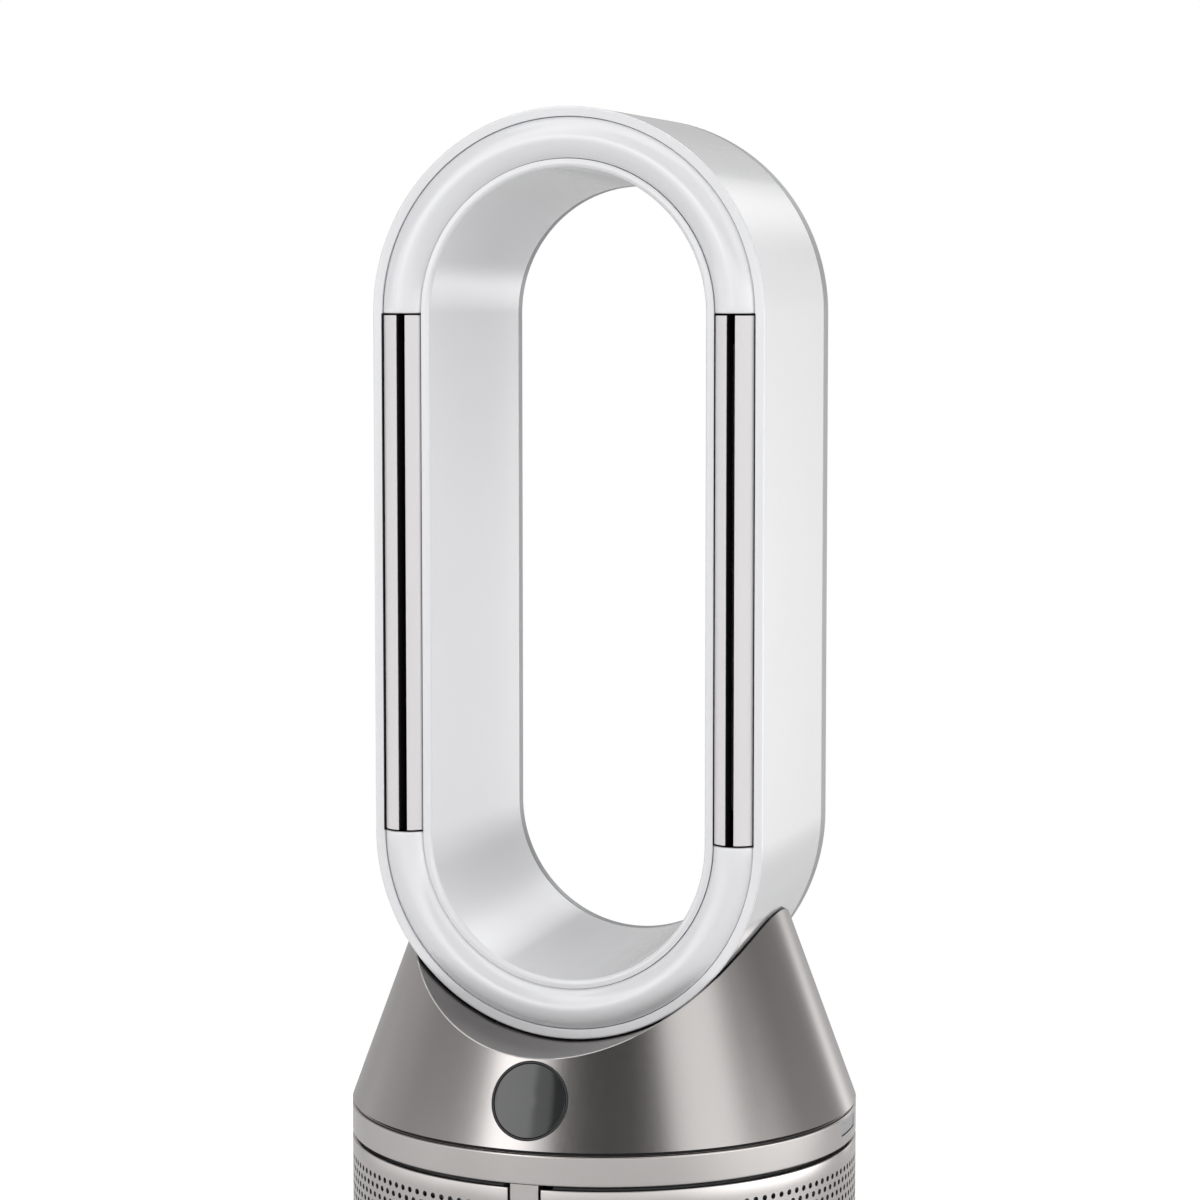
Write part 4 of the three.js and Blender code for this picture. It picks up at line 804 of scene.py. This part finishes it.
def exact_normals(piece):
    """Gives the corners on the cone and the saddle's floor the true surface's direction."""
    mesh = piece.data
    piece.modifiers.clear()
    normals = [Vector(n.vector) for n in mesh.corner_normals]
    for face in mesh.polygons:
        facing = Vector(face.normal)
        for corner in face.loop_indices:
            p = mesh.vertices[mesh.loops[corner].vertex_index].co
            for true in (cone_normal(p), floor_normal(p)):
                if facing.dot(true) > FACING:
                    normals[corner] = true
    mesh.normals_split_custom_set(normals)


def on_cone(u, v, sink):
    """A point of the cone's front, at (u, v) in the display's plane."""
    centre, outward, upward = display_frame()
    start = centre + Vector((u, 0, 0)) + upward * v
    low, high = -6 * MM, 4 * MM
    for _ in range(30):
        middle = (low + high) / 2
        p = start + outward * middle
        outside = math.hypot(p.x, p.y) > cone_radius(p.z - CONE_Z, sink)
        low, high = (low, middle) if outside else (middle, high)
    return start + outward * low


def cone_disc(name, inner, outer, depth, edge, material):
    """A disc or ring that follows the cone's curve, with rounded edges."""
    def bend(angle):
        return edge * (1 - math.cos(angle)), edge * (1 - math.sin(angle))

    profile = [(outer, depth), (outer, edge)]
    profile += [(outer - bend(a)[0], bend(a)[1]) for a in (0.5, 1.0, math.pi / 2)]
    if inner > 0:
        profile += [(inner + bend(a)[1], bend(a)[0]) for a in (0.1, 0.8, math.pi / 2)]
        profile += [(inner, depth)]
    else:
        profile += [(outer * share, 0) for share in (0.85, 0.7, 0.5, 0.3, 0.1)]
    rings = [
        [on_cone(radius * cos, radius * sin, sink) for cos, sin in circle(DISPLAY_STEPS)]
        for radius, sink in profile
    ]
    return skin(name, rings, inner > 0, [material], [0] * DISPLAY_STEPS)


def display():
    lens = cone_disc("display_lens_skin", 0, DISPLAY_RADIUS, LENS_DEPTH, LENS_ROUND, glass)
    dress(lens, "turning_body", "dark_glass", "display_lens")
    bezel = cone_disc(
        "display_bezel_skin", BEZEL_INNER, BEZEL_OUTER, BEZEL_DEPTH, BEZEL_ROUND, dark)
    dress(bezel, "turning_body", "dark_plastic", "display_bezel")


# ==================== body

def collar():
    spigot = cone_radius(SPIGOT_RISE, CONE_WALL) - 0.8 * MM
    spigot_top = CONE_Z + SPIGOT_RISE
    deck_top = COLLAR_LOW + DECK
    piece = turned("collar_skin", [
        (BUCKET_HOLE, COLLAR_LOW, 0, 0),
        (BODY_RADIUS, COLLAR_LOW, BODY_ROUND, 0),
        (BODY_RADIUS, COLLAR_TOP, BODY_ROUND, 0),
        (BODY_RADIUS - BODY_WALL, COLLAR_TOP, 0, 1),
        (spigot, spigot_top, 0, 1),
        (spigot - BODY_WALL, spigot_top, 0, 1),
        (spigot - BODY_WALL, deck_top, 0, 1),
        (BUCKET_HOLE, deck_top, 0, 1),
    ], [nickel, shade_black])
    low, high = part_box("release_button_right")
    for side in (1, -1):
        carve(piece, button_block(
            "cutter", side, low.z - FIT, high.z + FIT, high.y + FIT, 0, BUTTON_CUT))
    dress(piece, "turning_body", "nickel", "chassis")


def button_block(name, side, low, high, half_width, sink, depth):
    """A block that follows the body's curve. Its face lies sink inside; cutters have no sink."""
    radius = BODY_RADIUS - sink
    outer = radius if sink else radius + 2 * MM
    edge = BUTTON_ROUND if sink else 0
    reach = half_width / BODY_RADIUS
    across = [2 * reach * i / BUTTON_COLUMNS for i in range(BUTTON_COLUMNS + 1)]
    outline = [(a - reach, low) for a in across] + [(reach - a, high) for a in across]
    middle = (low + high) / 2
    third = edge * 0.3
    levels = [(radius - depth, 0), (outer - edge, 0), (outer - third, third), (outer, edge)]
    verts = []
    for r, inward in levels:
        for angle, z in outline:
            angle *= 1 - inward / half_width
            height = middle + (z - middle) * (1 - inward / (high - middle))
            verts.append((side * r * math.cos(angle), r * math.sin(angle), height))
    size = len(outline)
    last = (len(levels) - 1) * size
    faces = []
    for start in range(0, last, size):
        faces += strip(start, start + size, size)
    for start in (0, last):
        end = start + size - 1
        faces += [(start + k, start + k + 1, end - k - 1, end - k) for k in range(BUTTON_COLUMNS)]
    return new_piece(name, verts, faces, [silver])


def release_buttons():
    for side, word in ((1, "right"), (-1, "left")):
        name = f"release_button_{word}"
        low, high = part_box(name)
        piece = button_block(name + "_skin", side, low.z, high.z, high.y, FIT, BUTTON_DEPTH)
        dress(piece, name, "silver_casing", name)


def spine(side, name):
    """The upright strip between the two half shrouds."""
    half = SPINE_WIDTH / 2
    points, _ = rounded([
        (-half, -SPINE_DEPTH, 0, 0),
        (-half, 0, 1 * MM, 0),
        (half, 0, 1 * MM, 0),
        (half, -SPINE_DEPTH, 0, 0),
    ])
    outline = [(p.x, side * (math.sqrt(BODY_RADIUS ** 2 - p.x ** 2) + p.y)) for p in points]
    piece = upright(name, outline, HOUSING_HIGH + DECK, COLLAR_LOW, [nickel])
    dress(piece, "turning_body", "nickel", "chassis")


def lower_deck():
    radius = BODY_RADIUS - SHROUD_WALL - 0.8 * MM
    low = HOUSING_HIGH + FIT
    high = low + DECK
    piece = turned("lower_deck_skin", [
        (1 * MM, low, 0, 0),
        (radius, low, 0.5 * MM, 0),
        (radius, high, 0.5 * MM, 0),
        (1 * MM, high, 0, 0),
    ], [nickel])
    dress(piece, "turning_body", "nickel", "chassis")


def lower_housing():
    inside = BODY_RADIUS - BODY_WALL
    floor = HOUSING_LOW + DECK
    piece = turned("lower_housing_skin", [
        (HOUSING_BORE, HOUSING_LOW, 0, 0),
        (BODY_RADIUS, HOUSING_LOW, HOUSING_ROUND, 0),
        (BODY_RADIUS, HOUSING_HIGH, BODY_ROUND, 0),
        (inside, HOUSING_HIGH, 0, 1),
        (inside, floor, 2 * MM, 1),
        (HOUSING_BORE, floor, 0, 1),
    ], [nickel, shade_black])
    for node, clearance in (("power_button", 0.6 * MM), ("receiver_window", FIT)):
        front, back = ((0, y * MM - BODY_RADIUS, middle_height(node)) for y in (-5, 10))
        carve(piece, cylinder(high_corner(node).x + clearance, front, back))
    dress(piece, "turning_body", "nickel", "lower_housing")


def front_controls():
    radius = high_corner("power_button").x
    front = low_corner("power_button").y
    button = round_piece("power_button_skin", "power_button", [
        (radius, front + 5.8 * MM),
        (radius, front + 0.7 * MM),
        (radius - 0.2 * MM, front + 0.25 * MM),
        (radius - 0.7 * MM, front + 0.05 * MM),
        (radius - 1.3 * MM, front + 0.1 * MM),
        (radius * 0.6, front + 0.5 * MM),
        (radius * 0.3, front + 0.7 * MM),
        (0.1 * MM, front + 0.75 * MM),
    ], False, dark)
    dress(button, "power_button", "dark_plastic", "power_button")
    radius = high_corner("receiver_window").x
    front = low_corner("receiver_window").y
    window = round_piece("receiver_window_skin", "receiver_window", [
        (radius, front + 2.4 * MM),
        (radius, front + 0.3 * MM),
        (radius - 0.3 * MM, front + 0.02 * MM),
        (radius * 0.5, front),
        (0.1 * MM, front),
    ], False, glass)
    dress(window, "turning_body", "dark_glass", "receiver_window")


def base_plate():
    inside = BASE_RADIUS - DECK
    floor = BASE_LOW + DECK
    piece = turned("base_plate_skin", [
        (0.5 * MM, BASE_LOW, 0, 0),
        (BASE_RADIUS, BASE_LOW, BASE_ROUND, 0),
        (BASE_RADIUS, BASE_HIGH, BODY_ROUND, 0),
        (inside, BASE_HIGH, 0, 1),
        (inside, floor, 0, 1),
        (0.5 * MM, floor, 0, 1),
    ], [nickel, shade_black])
    start, end = ((0, BASE_RADIUS + y * MM, middle_height("cable_gland")) for y in (-8, 5))
    carve(piece, cylinder(high_corner("cable_gland").x + 0.4 * MM, start, end))
    dress(piece, "foot", "nickel", "base_plate")


def cable_gland():
    low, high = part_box("cable_gland")
    piece = round_piece("cable_gland_skin", "cable_gland", [
        (GLAND_BORE, low.y),
        (high.x, low.y),
        (high.x, high.y - 0.8 * MM),
        (high.x - 0.3 * MM, high.y - 0.25 * MM),
        (high.x - 0.9 * MM, high.y),
        (GLAND_BORE + 0.5 * MM, high.y - 0.1 * MM),
        (GLAND_BORE, high.y - 0.6 * MM),
    ], True, rubber)
    dress(piece, "foot", "rubber", "cable_gland")


# ==================== shrouds and filters

def shroud(side, word):
    """A half shell with rows of round holes, every second row moved by half a hole's pitch."""
    outer = BODY_RADIUS
    inner = outer - SHROUD_WALL
    reach = math.pi / 2 - (SPINE_WIDTH / 2 + SPINE_GAP) / outer
    border = SHROUD_BORDER / outer
    bevel = SHROUD_BEVEL
    half_pitch = (reach - border) / HOLE_COLUMNS
    height = SHROUD_HIGH - SHROUD_LOW - 2 * SHROUD_BORDER
    rows = round(height / (half_pitch * outer * math.sqrt(3)))
    half_row = height / rows / 2

    across = [-reach, -reach + bevel / outer]
    across += [-reach + border + i * half_pitch for i in range(2 * HOLE_COLUMNS + 1)]
    across += [reach - bevel / outer, reach]
    upward = [SHROUD_LOW, SHROUD_LOW + bevel]
    upward += [SHROUD_LOW + SHROUD_BORDER + j * half_row for j in range(2 * rows + 1)]
    upward += [SHROUD_HIGH - bevel, SHROUD_HIGH]
    wide, tall = len(across), len(upward)

    verts, faces = [], []

    def point(angle, z, radius):
        verts.append((side * radius * math.cos(angle), radius * math.sin(angle), z))
        return len(verts) - 1

    def join(first, second):
        """The faces between two closed rows of points."""
        for k in range(len(first)):
            n = (k + 1) % len(first)
            faces.append((first[k], first[n], second[n], second[k]))

    sheets = []
    for radius, lip in ((outer, outer - bevel), (inner, inner)):
        grid = np.empty((wide, tall), int)
        for i, angle in enumerate(across):
            for j, z in enumerate(upward):
                rim = i in (0, wide - 1) or j in (0, tall - 1)
                grid[i, j] = point(angle, z, lip if rim else radius)
        sheets.append(grid)

    def both(cells):
        """A face on the outside and one on the inside."""
        for grid in sheets:
            faces.append([grid[c] for c in cells])

    first, last_i, last_j = 2, wide - 3, tall - 3
    for i in range(wide - 1):
        for j in range(tall - 1):
            if not (first <= i < last_i and first <= j < last_j):
                both([(i, j), (i + 1, j), (i + 1, j + 1), (i, j + 1)])

    around = [(0, 0), (1, 0), (2, 0), (2, 1), (2, 2), (1, 2), (0, 2), (0, 1)]
    turns = [math.radians(a) for a in (225, 270, 315, 0, 45, 90, 135, 180)]
    spokes = [(math.cos(a), math.sin(a)) for a in turns]
    for row in range(rows):
        j = first + 2 * row
        shift = row % 2
        if shift:
            for i in (first, last_i - 1):
                both([(i, j), (i + 1, j), (i + 1, j + 1), (i + 1, j + 2), (i, j + 2), (i, j + 1)])
        for column in range(HOLE_COLUMNS - shift):
            i = first + shift + 2 * column
            angle, z = across[i + 1], upward[j + 1]
            holes = []
            for grid, radius in zip(sheets, (outer, inner), strict=True):
                hole = [
                    point(angle + HOLE_RADIUS * cos / outer, z + HOLE_RADIUS * sin, radius)
                    for cos, sin in spokes
                ]
                join([grid[i + di, j + dj] for di, dj in around], hole)
                holes.append(hole)
            join(*holes)

    rim = [(i, 0) for i in range(wide - 1)]
    rim += [(wide - 1, j) for j in range(tall - 1)]
    rim += [(i, tall - 1) for i in range(wide - 1, 0, -1)]
    rim += [(0, j) for j in range(tall - 1, 0, -1)]
    join(*[[grid[cell] for cell in rim] for grid in sheets])
    piece = new_piece(f"shroud_{word}_skin", verts, faces, [nickel], sharp=SHROUD_SHARP)
    dress(piece, f"shroud_{word}", "nickel", f"shroud_{word}")


def half_ring(name, inner, outer, low, high, end_angle, side, material):
    """Half of an upright ring with rounded edges, open by end_angle at both ends."""
    corners = ((inner, low), (outer, low), (outer, high), (inner, high))
    points, finishes = rounded([(r, z, BODY_ROUND, 0) for r, z in corners])
    reach = math.pi / 2 - end_angle
    rings = []
    for i in range(DISC_STEPS + 1):
        angle = -reach + 2 * reach * i / DISC_STEPS
        rings.append([(side * p.x * math.cos(angle), p.x * math.sin(angle), p.y) for p in points])
    return skin(name, rings, False, [material], finishes)


def particle_filter(side, word):
    body = f"shroud_{word}"
    node = f"particle_filter_{word}"
    low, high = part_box(node)
    inner = FILTER_OUTER - FILTER_DEPTH
    reach = math.pi / 2 - FILTER_END
    fold = []
    for i in range(2 * PLEATS + 1):
        radius = FILTER_OUTER - 1 * MM if i % 2 == 0 else inner + 1 * MM + PAPER
        fold.append((-reach + reach * i / PLEATS, radius))
    sheet = fold + [(angle, radius - PAPER) for angle, radius in reversed(fold)]
    outline = [(side * r * math.cos(angle), r * math.sin(angle)) for angle, r in sheet]
    pleats = upright(f"{node}_pleats", outline, low.z + 2 * MM, high.z - 2 * MM, [paper])
    dress(pleats, body, "filter_paper", node)
    for name, z in (("lower", low.z), ("upper", high.z - FILTER_CAP)):
        cap = half_ring(f"{node}_{name}_cap", inner, FILTER_OUTER, z, z + FILTER_CAP,
                        FILTER_END * 0.9, side, grey)
        dress(cap, body, "grey_plastic", node)


def carbon_filter(side, word):
    node = f"carbon_filter_{word}"
    low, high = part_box(node)
    piece = half_ring(
        f"{node}_skin", CARBON_INNER, CARBON_OUTER, low.z, high.z, FILTER_END, side, carbon)
    dress(piece, "turning_body", "charcoal", node)


# ==================== camera, floor and light

PHOTO_SIZE = 1200  # the photograph is square, in pixels
FOCAL_PIXELS = 3443.7
CAMERA_YAW = 17.47  # degrees, to the viewer's right of the fan's front
CAMERA_PITCH = 4.94
CAMERA_DISTANCE = 1.681
AIM_HEIGHT = CONE_Z + 0.244
AXIS_PIXEL = 604.36  # the picture's column at which the camera aims
SENSOR = 36


def direction(azimuth, elevation):
    """A unit vector; azimuth 0 is the fan's front, and +90 degrees the viewer's right."""
    a, e = math.radians(azimuth), math.radians(elevation)
    return Vector((math.sin(a) * math.cos(e), -math.cos(a) * math.cos(e), math.sin(e)))


def add_camera():
    data = bpy.data.cameras.new("camera")
    data.sensor_width = SENSOR
    data.lens = FOCAL_PIXELS * SENSOR / PHOTO_SIZE
    data.shift_x = (PHOTO_SIZE / 2 - AXIS_PIXEL) / PHOTO_SIZE
    data.clip_start, data.clip_end = 0.05, 50
    camera = bpy.data.objects.new("camera", data)
    bpy.context.scene.collection.objects.link(camera)
    back = direction(CAMERA_YAW, CAMERA_PITCH)
    camera.location = Vector((0, 0, AIM_HEIGHT)) + back * CAMERA_DISTANCE
    camera.rotation_euler = back.to_track_quat("Z", "Y").to_euler()
    bpy.context.scene.camera = camera


def calculate(tree, operation, *values):
    """A sum over plain numbers and other nodes' outputs."""
    node = add(tree, "Math")
    node.operation = operation
    for value, socket in zip(values, node.inputs):
        connect(tree, value, socket)
    return node.outputs[0]


FLOOR_REACH = 1.2  # a wider floor would show in the loop's bore
FLOOR_TONE = 0.55
FLOOR_GLOW = {"Is Camera Ray": 0.7, "Is Glossy Ray": 0.15, "Is Transmission Ray": 0.15}


def add_floor():
    """A floor that takes the shadow and glows white for the camera."""
    mesh = bpy.data.meshes.new("floor")
    ends = ((-1, -1), (1, -1), (1, 1), (-1, 1))
    mesh.from_pydata([(x * FLOOR_REACH, y * FLOOR_REACH, 0) for x, y in ends], [], [(0, 1, 2, 3)])
    floor = bpy.data.objects.new("floor", mesh)
    bpy.context.scene.collection.objects.link(floor)
    material, tree, shader = nodes_of("floor")
    rays = add(tree, "LightPath")
    glow = 0
    for kind, strength in FLOOR_GLOW.items():
        glow = calculate(tree, "MULTIPLY_ADD", rays.outputs[kind], strength, glow)
    feed(tree, shader, Base_Color=(FLOOR_TONE,) * 3, Roughness=0.9, Specular_IOR_Level=0.1,
         Emission_Color=(1, 1, 1), Emission_Strength=glow)
    mesh.materials.append(material)


# The studio's tones by azimuth, from behind on the left (-180) through the front (0) to behind on
# the right (180): below the horizon, at the horizon, and at the height that the cone mirrors.
LOW_TONES = [
    (-180, 0.45), (-125, 0.45), (-105, 1.1), (-60, 1.5), (-35, 1.4), (0, 1.2), (25, 1.1), (45, 1.3),
    (60, 1.7), (80, 2.7), (110, 3.5), (128, 3.1), (137, 1.5), (146, 0.55), (154, 0.5), (157, 1.75),
    (161, 1.75), (164, 1.1), (169, 0.55), (180, 0.48),
]
HORIZON_TONES = [
    (-180, 0.5), (-150, 0.5), (-140, 0.42), (-82, 0.4), (-70, 0.8), (-55, 1.7), (-40, 1.7),
    (-30, 2.6), (-9, 2.6), (-1, 1.6), (20, 1.5), (40, 1.7), (60, 2.1), (80, 2.7), (97, 2.7),
    (107, 0.9), (118, 0.3), (140, 0.22), (150, 0.28), (155.5, 0.4), (158, 0.75), (162, 0.75),
    (167, 0.8), (170, 0.5), (180, 0.5),
]
STUDIO_TONES = [
    (-180, 0.5), (-142, 0.5), (-122, 0.46), (-105, 0.36), (-92, 0.28), (-77, 0.2), (-60, 0.2),
    (-47, 0.4), (-41, 0.9), (-37, 1.9), (-19, 1.7), (-16, 0.9), (-10, 0.8), (-7, 0.1), (3, 0.07),
    (10, 0.03), (34, 0.03), (45, 0.15), (52, 0.8), (60, 1.0), (79, 1.0), (86, 0.55), (95, 0.2),
    (110, 0.11), (142, 0.14), (158, 0.6), (165, 1.4), (171, 1.45), (176, 1.1), (180, 0.7),
]
GROUND_TONE = 0.55
ZENITH_TONE = 1.28
# The elevations, in degrees, between which each row of tones takes over from what lies below it.
ROWS = [((-15, -7), LOW_TONES), ((-5, 5), HORIZON_TONES), ((7, 18), STUDIO_TONES)]
ZENITH_STEP = (48, 62)


def tones(tree, turn, stops):
    """A colour ramp over the azimuth."""
    node = add(tree, "ValToRGB", Fac=turn)
    elements = node.color_ramp.elements
    elements[0].color = (stops[0][1],) * 3 + (1,)
    elements[1].color = (stops[-1][1],) * 3 + (1,)
    for azimuth, tone in stops[1:-1]:
        elements.new((azimuth + 180) / 360).color = (tone, tone, tone, 1)
    return node.outputs["Color"]


def step(tree, height, elevations):
    """Goes smoothly from 0 to 1 between two elevations."""
    heights = [math.sin(math.radians(elevation)) for elevation in elevations]
    return spread(tree, height, heights, shape="SMOOTHSTEP")


def add_world():
    """White behind the object; a soft studio for the light and the reflections."""
    world = bpy.data.worlds.new("studio")
    bpy.context.scene.world = world
    world.use_nodes = True
    tree = world.node_tree
    tree.nodes.clear()
    split = add(tree, "SeparateXYZ", Vector=add(tree, "TexCoord").outputs["Generated"])
    front = calculate(tree, "MULTIPLY", split.outputs["Y"], -1)
    azimuth = calculate(tree, "ARCTAN2", split.outputs["X"], front)
    turn = spread(tree, azimuth, (-math.pi, math.pi))
    height = split.outputs["Z"]
    dome = (GROUND_TONE,) * 3
    for elevations, stops in ROWS:
        dome = mixed(tree, step(tree, height, elevations), dome, tones(tree, turn, stops))
    dome = mixed(tree, step(tree, height, ZENITH_STEP), dome, (ZENITH_TONE,) * 3)
    studio = add(tree, "Background", Color=dome)
    backdrop = add(tree, "Background", Color=(1, 1, 1))
    rays = add(tree, "LightPath").outputs
    direct = calculate(tree, "MAXIMUM", rays["Is Camera Ray"], rays["Is Transmission Ray"])
    seen = add(tree, "MixShader", Fac=direct)
    tree.links.new(studio.outputs[0], seen.inputs[1])
    tree.links.new(backdrop.outputs[0], seen.inputs[2])
    add(tree, "OutputWorld", Surface=seen.outputs[0])


add_camera()
add_floor()
add_world()

outer_casing()
inner_casing()
rear_casing()
front_trim(1, "front_trim_top")
front_trim(-1, "front_trim_bottom")
for outward in (True, False):
    for side in (1, -1):
        nozzle_plate(outward, side)
cone_shell()
saddle_shade_sheet()
display()
collar()
release_buttons()
spine(-1, "spine_front")
spine(1, "spine_rear")
lower_deck()
lower_housing()
front_controls()
base_plate()
cable_gland()
for side, word in ((1, "right"), (-1, "left")):
    shroud(side, word)
    particle_filter(side, word)
    carbon_filter(side, word)

bpy.context.scene.view_settings.view_transform = "Standard"
